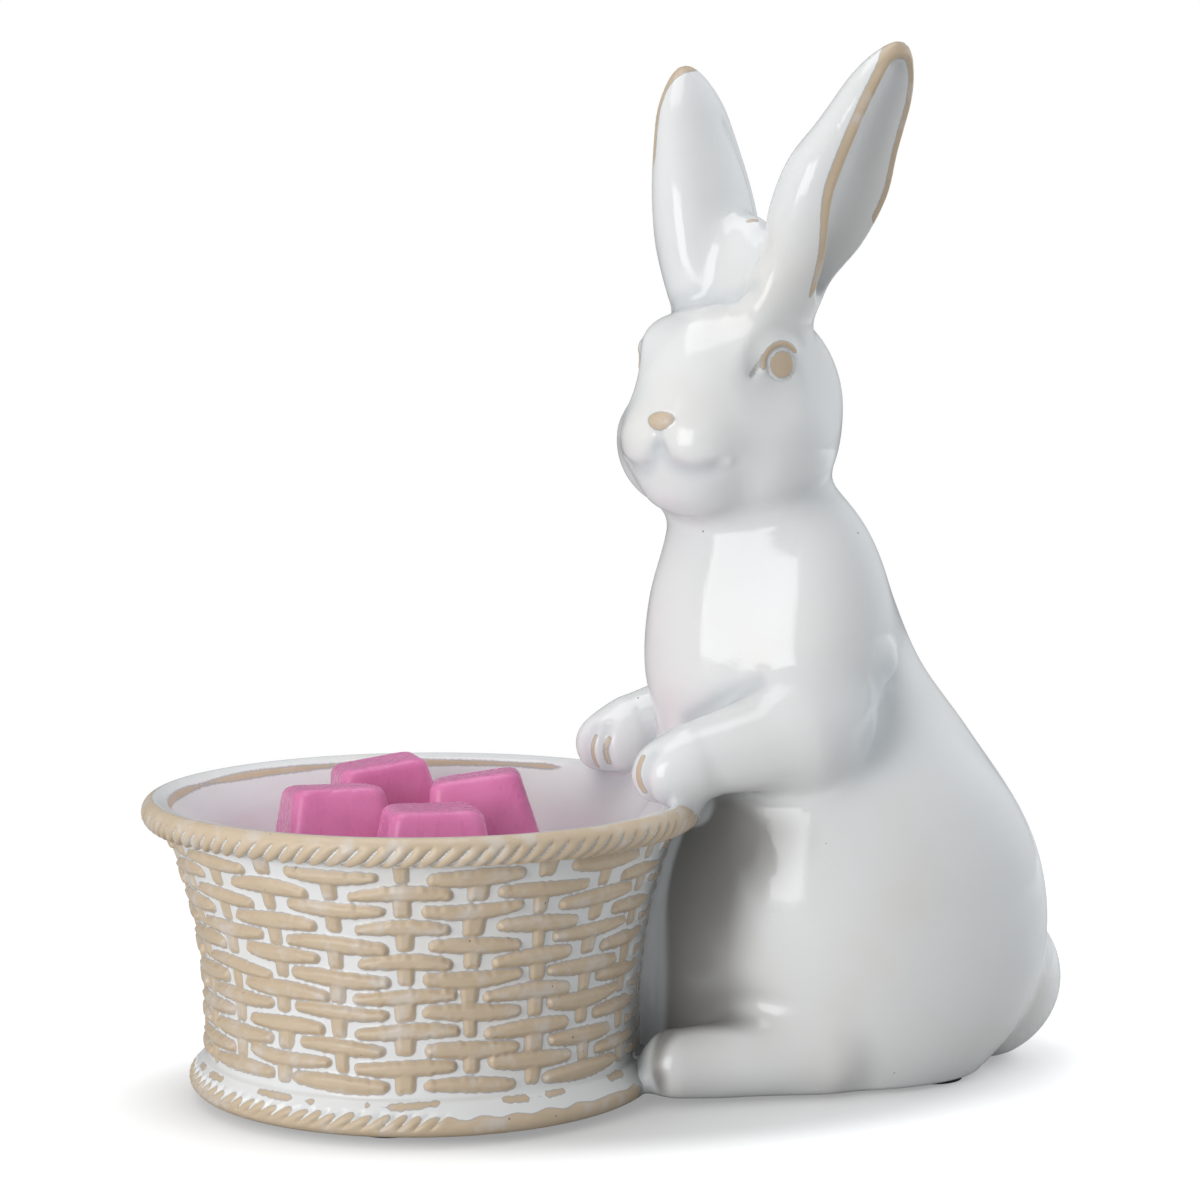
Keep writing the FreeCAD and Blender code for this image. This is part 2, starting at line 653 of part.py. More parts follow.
def pan_nuts():
    nuts = []
    for turn in range(3):
        where = ring_place("dims.spacer_ring", NUT_Z, f"(dims.spacer_angle + {120 * turn})")
        prism = doc.addObject("Part::Prism", f"nut_prism_{turn}")
        prism.Polygon = 6
        bind(prism, where, Circumradius="dims.nut_radius", Height="dims.nut_height")
        thread = cylinder(f"nut_thread_{turn}", where, "dims.screw_radius", "dims.nut_height")
        nuts.append(cut(f"nut_{turn}", prism, [thread]))
    return group("pan_nuts", nuts)


def element_terminals():
    drop_z = f"{PAN_Z} - dims.terminal_drop"
    return group("element_terminals", [
        cylinder(f"terminal_{number}", f"{BASKET} * {place(x=x, y=y, z=drop_z)}",
                 "dims.terminal_radius", f"{ELEMENT_Z} - ({drop_z})")
        for number, (x, y) in enumerate(terminal_points())])


def terminal_bushings():
    bushings = []
    for number, (x, y) in enumerate(terminal_points()):
        where = f"{BASKET} * " + place(x=x, y=y, z=f"{WOOL_Z} - dims.bushing_height")
        outside = cylinder(f"bushing_outside_{number}", where, "dims.bushing_radius",
                           "dims.bushing_height")
        bore = cylinder(f"bushing_bore_{number}", where, "dims.terminal_radius",
                        "dims.bushing_height")
        bushings.append(cut(f"bushing_{number}", outside, [bore]))
    return group("terminal_bushings", bushings)


# ---- Wiring -------------------------------------------------------------------------------------

FUSE_Z = f"({PAN_Z} - dims.fuse_radius - dims.clip_sheet)"


def fuse_place(z="0"):
    """Frame of the fuse: its own Z runs along the row's Y."""
    return f"{BASKET} * " + place(x="dims.fuse_x", z=f"{FUSE_Z} + {z}", roll="-90")


def thermal_fuse():
    can = cylinder("fuse_can", f"{fuse_place()} * {place(z='-dims.fuse_length / 2')}",
                   "dims.fuse_radius", "dims.fuse_length")
    wire = cylinder("fuse_wires",
                    f"{fuse_place()} * {place(z='-dims.fuse_length / 2 - dims.fuse_wire')}",
                    "dims.fuse_wire_radius", "dims.fuse_length + 2 * dims.fuse_wire")
    return fuse("thermal_fuse", [can, wire])


def fuse_clip():
    """Strap round the fuse, welded to the underside of the pan."""
    side = "dims.fuse_radius + dims.clip_sheet"
    strap = block("clip_block", f"{BASKET} * " + place(x="dims.fuse_x", z=f"{PAN_Z} - 2 * ({side})"),
                  f"2 * ({side})", "dims.clip_width", f"2 * ({side})")
    bore = cylinder("clip_bore", f"{fuse_place()} * {place(z='-dims.clip_width')}",
                    "dims.fuse_radius", "2 * dims.clip_width")
    return cut("fuse_clip", strap, [bore])


def terminal_block():
    """Two-pole block where the supply cord's wires meet the heater's leads."""
    housing = block("block_housing", f"{BASKET} * {place(y='dims.block_y', z=PLATE_TOP_Z)}",
                    "dims.block_long", "dims.block_wide", "dims.block_high")
    cutters = []
    for hand, side in (("live", -1), ("neutral", 1)):
        cutters.append(cylinder(
            f"{hand}_wire_bore",
            f"{BASKET} * " + place(x=f"{side} * dims.block_pole", y="dims.block_y - dims.block_wide",
                                   z=f"{PLATE_TOP_Z} + dims.block_high / 2", roll="-90"),
            "dims.block_bore", "2 * dims.block_wide"))
        cutters.append(cylinder(
            f"{hand}_screw_well",
            f"{BASKET} * " + place(x=f"{side} * dims.block_pole", y="dims.block_y",
                                   z=f"{PLATE_TOP_Z} + dims.block_high / 2"),
            "dims.block_screw_radius", "dims.block_high"))
    return cut("terminal_block", housing, cutters)


def block_screws():
    return group("block_screws", [
        cylinder(f"{hand}_block_screw", f"{BASKET} * " + place(
            x=f"{side} * dims.block_pole", y="dims.block_y",
            z=f"{PLATE_TOP_Z} + dims.block_high / 2 + dims.block_bore"),
            "dims.block_screw_radius - dims.screw_clearance", "dims.block_high / 4")
        for hand, side in (("live", -1), ("neutral", 1))])


def evaluate(expression):
    return float(sheet.evalExpression(expression))


def lead(name, route, radius):
    """A wire: straight runs joined by arcs that touch both runs."""
    edges, place_now, bends = [], route[0], []
    for before, corner, after in zip(route, route[1:], route[2:]):
        arriving = (corner - before).normalize()
        leaving = (after - corner).normalize()
        half_turn = arriving.getAngle(leaving) / 2
        trim = 0.45 * min((corner - before).Length, (after - corner).Length)
        bend = trim / math.tan(half_turn)
        bends.append(bend)
        start, end = corner - arriving * trim, corner + leaving * trim
        towards = (leaving - arriving).normalize()
        middle = corner + towards * (bend / math.cos(half_turn) - bend)
        edges += [Part.LineSegment(place_now, start).toShape(), Part.Arc(start, middle, end).toShape()]
        place_now = end
    edges.append(Part.LineSegment(place_now, route[-1]).toShape())
    path = Part.Wire(edges)
    section = Part.Wire(Part.makeCircle(radius, route[0], route[1] - route[0]))
    wire = doc.addObject("Part::Feature", name)
    wire.Shape = path.makePipeShell([section], True, False)
    print(f"{name}: bend radii {[round(bend, 1) for bend in bends]}, "
          f"volume ratio {wire.Shape.Volume / (math.pi * radius ** 2 * path.Length):.4f}")
    return wire


def leads():
    """Live lead to the fuse, fuse lead to one terminal, neutral lead to the other."""
    axis_x = evaluate(BASKET_X)
    radius = evaluate("dims.lead_radius")
    gap = evaluate("dims.lead_gap")
    block_face = evaluate("dims.block_y + dims.block_wide / 2")
    block_z = evaluate(f"{PLATE_TOP_Z} + dims.block_high / 2")
    pole = evaluate("dims.block_pole")
    fuse_end = evaluate("dims.fuse_length / 2 + dims.fuse_wire") + gap
    fuse_x, fuse_z = evaluate("dims.fuse_x"), evaluate(FUSE_Z)
    terminal_x = evaluate("dims.terminal_x")
    terminal_face = evaluate("dims.terminal_y - dims.terminal_radius") - gap
    terminal_z = evaluate(f"{PAN_Z} - dims.terminal_drop + 2 * dims.lead_radius")
    start_y = block_face + gap

    def at(x, y, z):
        return Vector(axis_x + x, y, z)

    live = lead("live_lead", [
        at(-pole, start_y, block_z),
        at(-pole - 1.5, start_y + 5, block_z + 0.5),
        at(fuse_x + 0.5, -fuse_end - 4, fuse_z - 3),
        at(fuse_x, -fuse_end, fuse_z),
    ], radius)
    fused = lead("fuse_lead", [
        at(fuse_x, fuse_end, fuse_z),
        at(fuse_x + 0.6, fuse_end + 4.5, fuse_z - 0.8),
        at(-terminal_x, terminal_face, terminal_z),
    ], radius)
    neutral = lead("neutral_lead", [
        at(pole, start_y, block_z),
        at(pole + 2, start_y + 12, block_z),
        at(terminal_x + 1, terminal_face - 10, block_z + 3),
        at(terminal_x, terminal_face, terminal_z),
    ], radius)
    return [live, fused, neutral]


def cord_grommet():
    """Rubber grommet in the far side of the basket's foot, where the supply cord comes out."""
    inner_face = f"sqrt(({CHAMBER}) ^ 2 - dims.grommet_flange ^ 2)"
    neck_radius = "dims.grommet_neck - dims.grommet_clearance"
    return turned("cord_grommet", [
        ("dims.grommet_bore", f"{inner_face} - dims.grommet_flange_thickness"),
        ("dims.grommet_flange", f"{inner_face} - dims.grommet_flange_thickness"),
        ("dims.grommet_flange", inner_face),
        (neck_radius, inner_face),
        (neck_radius, "dims.wall_radius"),
        ("dims.grommet_flange", "dims.wall_radius"),
        ("dims.grommet_flange", "dims.wall_radius + dims.grommet_flange_thickness"),
        ("dims.grommet_bore", "dims.wall_radius + dims.grommet_flange_thickness"),
    ], f"{BASKET} * " + place(z="dims.grommet_z", roll="-90"))


# ---- Wax ----------------------------------------------------------------------------------------

def wax_cube(name):
    """Tapered cube that lies loose in the dish, lowest edge just clear of its floor."""
    half = "dims.cube_base / 2"
    low_edge = f"{half} * (sin(abs(dims.{name}_pitch)) + sin(abs(dims.{name}_roll)))"
    owner = body(name, f"{BASKET} * " + place(
        x=f"dims.{name}_x", y=f"dims.{name}_y", z=f"dims.dish_floor_z + dims.cube_gap + {low_edge}",
        yaw=f"dims.{name}_turn", pitch=f"dims.{name}_pitch", roll=f"dims.{name}_roll"))
    square = outline(owner, f"{name}_square", "XY_Plane", [
        (f"-({half})", f"-({half})"), (half, f"-({half})"), (half, half), (f"-({half})", half)])
    block_pad = pad(owner, f"{name}_pad", square, "dims.cube_height")
    block_pad.setExpression("TaperAngle", "-dims.cube_draft")
    doc.recompute()
    rounded = [f"Edge{number}" for number, edge in enumerate(block_pad.Shape.Edges, start=1)
               if edge.BoundBox.ZMax > evaluate("dims.cube_height") / 2]
    edges = owner.newObject("PartDesign::Fillet", f"{name}_edges")
    edges.Base = (block_pad, rounded)
    bind(edges, Radius="dims.cube_edge")
    return owner


def build():
    pieces = [
        ceramic_body(), base_plate(), basket_feet(), rabbit_feet(), base_screws(), brass_inserts(),
        heater_plate(), heating_element(), mica_sheet(), insulating_pad(), heater_pan(),
        pan_spacers(), pan_screws(), pan_nuts(), element_terminals(), terminal_bushings(),
        thermal_fuse(), fuse_clip(), terminal_block(), block_screws(), cord_grommet(),
    ]
    pieces += leads()
    pieces += [wax_cube(name) for name in ("front_cube", "left_cube", "right_cube", "back_cube")]
    return pieces


def check(pieces):
    """Stop if any object failed or any piece is not a sound solid."""
    for thing in doc.Objects:
        if "Invalid" in thing.State or "Error" in thing.State:
            raise RuntimeError(f"{thing.Label} failed: {thing.State}")
    for piece in pieces:
        shape = piece.Shape
        if shape.isNull() or not shape.isValid() or not shape.Solids:
            raise RuntimeError(f"{piece.Label} is not a sound solid")
    if len(pieces[0].Shape.Solids) != 1:
        raise RuntimeError("ceramic_body is not one casting")


pieces = build()
doc.recompute()
check(pieces)
os.makedirs("parts", exist_ok=True)
for piece in pieces:
    piece.Shape.exportStep(f"parts/{piece.Label}.step")
    box = piece.Shape.BoundBox
    print(f"{piece.Label}: {len(piece.Shape.Solids)} solid(s), {piece.Shape.Volume / 1000:.2f} cm3, "
          f"X {box.XMin:.1f}..{box.XMax:.1f} Y {box.YMin:.1f}..{box.YMax:.1f} "
          f"Z {box.ZMin:.1f}..{box.ZMax:.1f}")
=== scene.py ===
import math
import bmesh
import bpy
import numpy as np
import openvdb
from mathutils import Matrix, Vector


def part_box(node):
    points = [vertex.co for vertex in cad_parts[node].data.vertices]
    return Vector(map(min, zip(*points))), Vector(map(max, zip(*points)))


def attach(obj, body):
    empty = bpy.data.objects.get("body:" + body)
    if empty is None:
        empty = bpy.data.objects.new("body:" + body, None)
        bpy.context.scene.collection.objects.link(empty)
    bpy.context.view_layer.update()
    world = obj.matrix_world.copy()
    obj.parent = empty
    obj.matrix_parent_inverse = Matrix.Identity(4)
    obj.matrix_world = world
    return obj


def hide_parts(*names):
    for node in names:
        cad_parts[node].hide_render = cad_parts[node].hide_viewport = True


# A glazed stoneware wax warmer: a seated rabbit holding a woven basket whose top is the wax dish.
# Shapes are worked out in millimetres about the basket's axis, then set in the frame in metres.

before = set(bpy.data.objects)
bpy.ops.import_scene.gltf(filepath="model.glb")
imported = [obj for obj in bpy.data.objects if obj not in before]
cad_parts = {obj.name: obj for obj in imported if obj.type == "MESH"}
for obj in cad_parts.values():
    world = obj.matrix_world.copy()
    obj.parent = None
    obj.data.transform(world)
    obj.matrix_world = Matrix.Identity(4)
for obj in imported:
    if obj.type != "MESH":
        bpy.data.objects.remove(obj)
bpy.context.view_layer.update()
mm = 0.001
plateLow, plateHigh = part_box("heater_plate")
feetLow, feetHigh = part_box("rabbit_feet")
basketX = (plateLow.x + plateHigh.x) / 2 / mm
feetBehind = 17.0  # the rabbit's rubber feet stand this far behind its own middle
rabbitX = (feetLow.x + feetHigh.x) / 2 / mm - feetBehind - basketX
print("frame loaded, basket axis at", round(basketX, 2), "rabbit at", round(rabbitX, 2))


def toFrame(points):
    return (points + np.array([basketX, 0.0, 0.0])) * mm


def ramp(value, start, end):  # smooth step from 0 at start to 1 at end
    share = np.clip((value - start) / (end - start), 0, 1)
    return share * share * (3 - 2 * share)


def smoothMin(a, b, soft):
    share = np.clip(0.5 + 0.5 * (b - a) / soft, 0, 1)
    return b + (a - b) * share - soft * share * (1 - share)


def smoothMax(a, b, soft):
    return -smoothMin(-a, -b, soft)


def bothSides(points):  # folds the left half onto the right one
    folded = points.copy()
    folded[:, 1] = np.abs(folded[:, 1])
    return folded


def turnMatrix(yaw=0.0, pitch=0.0, roll=0.0):
    turn = Matrix.Rotation(math.radians(yaw), 3, "Z") @ Matrix.Rotation(math.radians(pitch), 3, "Y")
    return np.array(turn @ Matrix.Rotation(math.radians(roll), 3, "X"))


def ellipsoid(points, centre, radii):
    radii = np.array(radii, points.dtype)
    scaled = (points - np.array(centre, points.dtype)) / radii
    near = np.sqrt((scaled * scaled).sum(1))
    slope = np.sqrt(((scaled / radii) ** 2).sum(1))
    return near * (near - 1) / np.maximum(slope, 1e-6)


def beside(points, start, end):  # share of the way along a straight line, and the gap from it
    along = end - start
    share = np.clip((points - start) @ along / (along @ along), 0, 1)
    return share, points - start - share[:, None] * along


def limb(points, start, end, startRadius, endRadius):  # round cone from start to end
    share, gap = beside(points, np.array(start, float), np.array(end, float))
    return np.sqrt((gap * gap).sum(1)) - startRadius - (endRadius - startRadius) * share


def throughTable(heights, values, z):  # smooth curve through a short table
    heights, values = np.array(heights, float), np.array(values, float)
    slopes = np.gradient(values, heights)
    z = np.clip(z, heights[0], heights[-1])
    index = np.clip(np.searchsorted(heights, z) - 1, 0, len(heights) - 2)
    step = heights[index + 1] - heights[index]
    share = (z - heights[index]) / step
    share2, share3 = share ** 2, share ** 3
    return ((2 * share3 - 3 * share2 + 1) * values[index]
            + (share3 - 2 * share2 + share) * step * slopes[index]
            + (3 * share2 - 2 * share3) * values[index + 1]
            + (share3 - share2) * step * slopes[index + 1])


basket = {
    "baseZ": 2.0, "chamberRadius": 42.3, "chamberTop": 12.0,
    "footRadius": 47.9, "footBead": 2.6, "footZ": 4.6, "footEdge": (49.05, 7.0), "footTop": 9.3,
    "wallRadius": 46.8, "wallZ": 9.6, "flareZ": 18.0, "neckRadius": 55.2, "neckZ": 58.9,
    "rimRadius": 56.8, "rimBead": 3.2, "rimZ": 61.7,
    "lipRadius": 54.0, "lipZ": 63.3, "lipBead": 1.1,
    "dishFlat": 44.5, "dishZ": 46.0, "dishWall": [(46.6, 47.2), (48.5, 50.5), (50.6, 56.0)],
    "cordZ": 14.0, "cordHole": 5.6, "cordSeat": (7.4, 9.5),
    "skin": 0.45, "dishSkin": 0.4, "soft": 1.2,  # how far the plain core lies inside, and its joins
}


def wallRadiusAt(z):
    across = basket["neckRadius"] - basket["wallRadius"]
    rise = basket["neckZ"] - basket["flareZ"]
    bend = (across ** 2 + rise ** 2) / (2 * across)
    above = np.clip(z - basket["flareZ"], 0, rise + 3)
    return basket["wallRadius"] + bend - np.sqrt(bend ** 2 - above ** 2)


def dishRadiusAt(z):  # inside of the dish, from its floor to the lip
    floor, lip = (basket["dishFlat"], basket["dishZ"]), (basket["lipRadius"], basket["lipZ"])
    radii, heights = zip(floor, *basket["dishWall"], lip)
    return throughTable(heights, radii, z)


def basketCore(points, shrink=0.8):  # plain basket a little under its woven surface
    radius, z = np.hypot(points[:, 0], points[:, 1]), points[:, 2]
    core = smoothMax(radius - wallRadiusAt(z) + shrink, z - basket["rimZ"] - 1.0, 1.0)
    for bead in ("rim", "foot"):
        near = np.hypot(radius - basket[bead + "Radius"], z - basket[bead + "Z"])
        core = smoothMin(core, near - basket[bead + "Bead"] + basket["skin"], basket["soft"])
    floor = basket["dishZ"] - basket["dishSkin"] - z
    inside = smoothMax(radius - dishRadiusAt(z) - basket["dishSkin"], floor, 2.0)
    return smoothMax(core, -inside, 1.0)


rabbit = {
    "trunkZ": [2, 12, 24, 42, 60, 75, 90, 105, 118, 128, 134],
    "trunkX": [-5, 0.7, 3, 4.2, 2, -4, -11, -14, -15.5, -17.5, -18],
    "trunkLong": [39, 42.2, 44, 42.3, 39, 35, 31, 27, 22, 18, 14.5],
    "trunkWide": [29, 31, 32, 32, 29.5, 26, 23.5, 21, 18.5, 16, 13], "shoulderSoft": 8.0,
    "head": (-22.0, 0.0, 146.0), "headTurn": 40.0, "neckSoft": 4.5,
    "crown": ((3, 0, 0), (21.5, 21.5, 24)),
    "skull": [  # middle, half sizes, how softly it joins and whether it is cut away
        ((-9, 0, 0.5), (17, 17.5, 20), 8, False),
        ((-5, 10.5, -7.5), (15, 14, 14), 7, False),  # cheek
        ((-17, 0, -6.5), (13, 10.5, 11), 6, False),  # muzzle
        ((-7.6, 12.0, 13.2), (8.2, 5.4, 5.5), 7, False),  # brow
        ((-19, 22.5, 8.5), (9, 5.5, 8), 6, True),  # eye hollow
        ((-20.0, 6.0, -6.5), (8.2, 7.3, 6.5), 7, False),  # whisker pad
        ((-17.5, 0, -16.5), (8, 9, 5), 7, False),  # chin
    ],
    "headFrom": 100, "earsFrom": 150, "face": (130, 172),  # heights that these parts lie between
    "web": ((-18.5, 1.0, 175.0), (7.0, 9.0, 12.5)), "webSoft": 7,  # skin between the ears
    "room": ((-62, -46, 0.2), (58, 46, 226)), "cell": 0.9,
    "inside": 3.5, "sunk": 0.2, "foremost": -60,  # what the basket hides is left out
}
headTurn = turnMatrix(yaw=rabbit["headTurn"])


def trunk(points):
    z = points[:, 2]
    curves = (rabbit[name] for name in ("trunkX", "trunkLong", "trunkWide"))
    middle, halfLong, halfWide = (throughTable(rabbit["trunkZ"], curve, z) for curve in curves)
    x, y = (points[:, 0] - middle) / halfLong, points[:, 1] / halfWide
    near = np.sqrt(x * x + y * y) + 1e-6
    slope = np.sqrt((x / halfLong) ** 2 + (y / halfWide) ** 2) + 1e-6
    around = near * (near - 1) / slope * 0.93  # kept a little short, as the trunk tapers
    return smoothMax(around, z - rabbit["trunkZ"][-1], rabbit["shoulderSoft"])


def fromRabbit(points):  # the rabbit's own axes stand beside the basket's
    return points - np.array([rabbitX, 0, 0])


def besideFace(p):
    lowest, highest = rabbit["face"]
    return (p[:, 2] > lowest) & (p[:, 2] < highest)


def headLocal(points):  # the head's own axes: it faces -x, its left side is -y
    return (points - np.array(rabbit["head"])) @ headTurn


def skull(points):
    p = bothSides(headLocal(points))
    d = ellipsoid(p, *rabbit["crown"])
    for centre, radii, soft, cut in rabbit["skull"]:
        form = ellipsoid(p, centre, radii)
        d = smoothMax(d, -form, soft) if cut else smoothMin(d, form, soft)
    return d


def tangentFrame(field, start):  # a point of the surface, its normal and two directions along it
    spot = settle(field, np.array([start], float), 6)
    out = gradient(field, spot)[0]
    out /= np.linalg.norm(out)
    across = np.cross([0.0, 0.0, 1.0], out)
    across /= np.linalg.norm(across)
    return spot[0], out, across, np.cross(out, across)


def headPlace(place, side=1):  # from the head's axes to the rabbit's
    return headTurn @ (np.array(place) * [1, side, 1]) + np.array(rabbit["head"])


def bodyPlace(place, side):
    return place * [1, side, 1]


def faceFrames():
    frames = [("eye", side, tangentFrame(skull, headPlace(eye["place"], side))) for side in (-1, 1)]
    frames.append(("nose", 1, tangentFrame(skull, headPlace(nose["place"]))))
    return frames


eye = {
    "place": (-12.0, 20.3, 10.0), "ball": 2.95, "ballRise": 0.5, "groove": 0.18, "margin": 0.15,
    "lid": 4.4, "lidRise": 0.45, "lidReach": 0.75, "lidHalf": 0.58,
    "lidStart": (-32, -8), "lidEnd": (142, 160),  # degrees, 0 towards the nose and 90 upwards
    "socket": 0.35, "socketRadius": 7.2, "socketReach": 1.6,
    "tearFrom": (-4.3, 1.5), "tearRun": (-2.8, -3.8), "tear": 0.28, "tearReach": 1.1, "tearHalf": (0.7, 0.3),
    "reach": 10.0,
}
nose = {
    "place": (-29.2, 0.0, -1.7), "radius": 2.0, "rise": 0.8, "wide": 0.64, "narrowing": 0.1, "reach": 5.0,
}


def eyeRelief(across, up):  # height of the eye and its lids, and millimetres inside the bare clay
    reach = np.hypot(across, up)
    turn = np.degrees(np.arctan2(up, -across))
    ball, lid = eye["ball"], eye["lid"]
    over = ramp(turn, *eye["lidStart"]) * (1 - ramp(turn, *eye["lidEnd"]))
    height = eye["ballRise"] * np.sqrt(np.clip(1 - (reach / (ball + 0.25)) ** 2, 0, 1))
    height = height - eye["groove"] * np.exp(-((reach - ball - 0.45) / 0.4) ** 2)
    height = height + eye["lidRise"] * np.exp(-((reach - lid) / eye["lidReach"]) ** 2) * over
    (besideEye, aboveEye), (runAcross, runUp) = eye["tearFrom"], eye["tearRun"]
    share = (across - besideEye) * runAcross + (up - aboveEye) * runUp
    share = np.clip(share / (runAcross ** 2 + runUp ** 2), 0, 1)
    tear = np.hypot(across - besideEye - runAcross * share, up - aboveEye - runUp * share)
    height = height - eye["tear"] * np.exp(-(tear / eye["tearReach"]) ** 2)
    socket = np.exp(-((reach - eye["socketRadius"]) / eye["socketReach"]) ** 2)
    height = height - eye["socket"] * socket * over
    disc = ball - eye["margin"] - reach
    band = eye["lidHalf"] - np.abs(reach - lid) - 3 * (1 - over)
    half, narrower = eye["tearHalf"]
    duct = np.minimum(half - narrower * share - tear, -0.06)
    return height, np.maximum(np.maximum(disc, band), duct)


def noseRelief(across, up):
    wide = np.abs(across)
    narrow = nose["wide"] - nose["narrowing"] * np.clip(up, -2.5, 2.5)
    inside = nose["radius"] - np.hypot(wide * narrow, up + 0.1 * wide)
    return nose["rise"] * ramp(inside, -0.6, 1.2), inside


faceReach = {"eye": (eyeRelief, eye["reach"]), "nose": (noseRelief, nose["reach"])}


def faceStamp(points, which=0):  # 0: height of eyes and nose over the skull, 1: bare clay
    total = np.zeros(len(points)) if which == 0 else np.full(len(points), -1.0)
    for kind, side, (spot, out, across, up) in frames:
        relief, reach = faceReach[kind]
        local = points - spot
        close = ((local * local).sum(1) < (reach + 4) ** 2)
        if not close.any():
            continue
        local = local[close]
        sideways = local @ across * (1 if kind == "nose" else -side)
        value = relief(sideways, local @ up)[which]
        if which == 0:
            fade = 1 - ramp(np.abs(local @ out), 2.5, 6.0)
            total[close] += value * fade
        else:
            total[close] = np.maximum(total[close], value)
    return total


ears = [  # base, tip, heading of the hollow, its shift aside near the base, half width along the ear
    {"base": (-18.2, -8.3, 160.0), "tip": (5.8, -26.6, 223.4), "heading": -55.0, "lean": 4.4,
     "halfWide": [8.2, 9.3, 9.6, 9.6, 12.9, 13.6, 10.8, 9.0, 7.6, 6.8, 6.2], "thick": 0.72,
     "bend": 0.6, "rootShift": 1.5, "rims": ((1.95, 0.08), (1.1, 0.42))},
    {"base": (-21.0, 9.5, 156.0), "tip": (-27.6, 21.4, 221.0), "heading": 130.0, "lean": 0.0,
     "halfWide": [7.6, 9.6, 11.6, 13.6, 14.6, 14.0, 12.1, 10.1, 8.3, 7.4, 6.8], "thick": 0.7,
     "bend": -0.9, "rootShift": 0.0, "rims": ((1.6, 0.92), (2.3, 0.62))},  # bare edges: half width, start
]
earShare = [-0.15, 0, 0.1, 0.25, 0.4, 0.55, 0.7, 0.82, 0.92, 0.97, 1.0]
earHollow = {
    "wide": 0.86, "rootWide": (0.32, 0.68), "widens": (0.12, 0.56), "leans": (0.1, 0.85), "deep": 1.16,
    "start": 0.19, "end": 0.965, "soft": 0.9,
}


def earAxes(ear):
    base, tip = np.array(ear["base"]), np.array(ear["tip"])
    along = tip - base
    long = np.linalg.norm(along)
    along = along / long
    heading = math.radians(ear["heading"])
    out = np.array([math.cos(heading), math.sin(heading), 0.0])
    out = out - along * (out @ along)
    out = out / np.linalg.norm(out)
    return base, along, out, np.cross(along, out), long


def earFields(points, ear):  # leaf, the hollow in it, and the share of its length at each point
    base, along, out, back, long = earAxes(ear)
    local = points - base
    share = local @ along / long
    u, w = local @ out, local @ back
    inEar = np.clip(share, 0, 1)
    w = w + ear["bend"] * np.sin(inEar * math.pi) + ear["rootShift"] * (1 - inEar) ** 2
    tip = np.clip((share - 0.8) / 0.2, 0, 1)
    half = np.maximum(throughTable(earShare, ear["halfWide"], share) * np.sqrt(1 - tip ** 2.2), 0.4)
    thick = half * ear["thick"]
    near = np.sqrt((u / thick) ** 2 + (w / half) ** 2) + 1e-6
    slope = np.sqrt((u / thick ** 2) ** 2 + (w / half ** 2) ** 2) + 1e-6
    leaf = near * (near - 1) / slope * 0.9
    past = np.sqrt(u * u + w * w + ((share - 1) * long) ** 2)
    leaf = np.where(share > 0.995, past, leaf)
    leaf = smoothMax(leaf, -(share - earShare[0]) * long, 2)
    rootWide, more = earHollow["rootWide"]
    hollowHalf = half * earHollow["wide"] * (rootWide + more * ramp(share, *earHollow["widens"]))
    across = w - ear["lean"] * (1 - ramp(share, *earHollow["leans"]))
    near = np.sqrt(((u - thick * earHollow["deep"]) / thick) ** 2 + (across / hollowHalf) ** 2) + 1e-6
    hollow = (near - 1) * np.minimum(thick, hollowHalf) * 0.9
    hollow = smoothMax(hollow, (earHollow["start"] - share) * long, 5)
    hollow = smoothMax(hollow, (share - earHollow["end"]) * long, 3)
    return leaf, hollow, share


creases = [  # axes, sides, reach, depth, fade at its end, and a line near the surface
    (headPlace, (1, -1), 1.9, 0.8, 4.0, [  # mouth
        (-29.6, 0.6, -7.6), (-29.2, 2.6, -10.8), (-28.0, 5.6, -12.2), (-26.0, 8.8, -11.6),
        (-22.5, 12.0, -9.2)]),
    (headPlace, (1,), 1.2, 0.4, 0, [(-29.8, 0, -4.6), (-29.8, 0, -7.4)]),  # lip
    (bodyPlace, (1,), 1.9, 0.5, 0, [  # before the ears
        (-34.5, 8.6, 167.5), (-29.6, 0.2, 169.2), (-25.0, -7.0, 170.2), (-20.5, -15.0, 171.2)]),
    (bodyPlace, (1,), 1.3, 0.45, 0, [  # fold in the far ear
        (-21.5, 14.5, 207.5), (-17.5, 14.5, 199.5), (-15.3, 13.6, 193.0), (-14.5, 12.4, 188.0)]),
    (bodyPlace, (1, -1), 2.0, 0.9, 1.5, [  # over the forearm
        (-37.5, 12.5, 78.6), (-34.5, 15.5, 81.4), (-30.0, 18.8, 84.4), (-25.5, 21.2, 87.2),
        (-23.3, 23.0, 88.2)]),
    (bodyPlace, (1, -1), 6.5, 1.3, 0, [  # behind the elbow
        (3.0, 22.0, 88.0), (2.2, 24.0, 82.0), (0.0, 27.0, 76.5)]),
    (bodyPlace, (1, -1), 1.4, 0.9, 0, [  # between the toes
        (-48.6, 19.6, 74.0), (-50.3, 19.8, 70.0), (-49.2, 20.2, 64.5)]),
    (bodyPlace, (1, -1), 1.4, 0.9, 0, [(-46.6, 17.4, 75.0), (-47.4, 16.6, 70.0), (-46.4, 17.2, 64.5)]),
    (bodyPlace, (1, -1), 1.4, 0.8, 0, [(-48.0, 26.5, 74.4), (-50.0, 27.0, 70.0), (-49.2, 26.6, 64.5)]),
]


def lineGap(points, line):  # distance to a line of several points
    nearest = np.full(len(points), 1e6)
    for start, end in zip(line[:-1], line[1:]):
        gap = beside(points, start, end)[1]
        nearest = np.minimum(nearest, (gap * gap).sum(1))
    return np.sqrt(nearest)


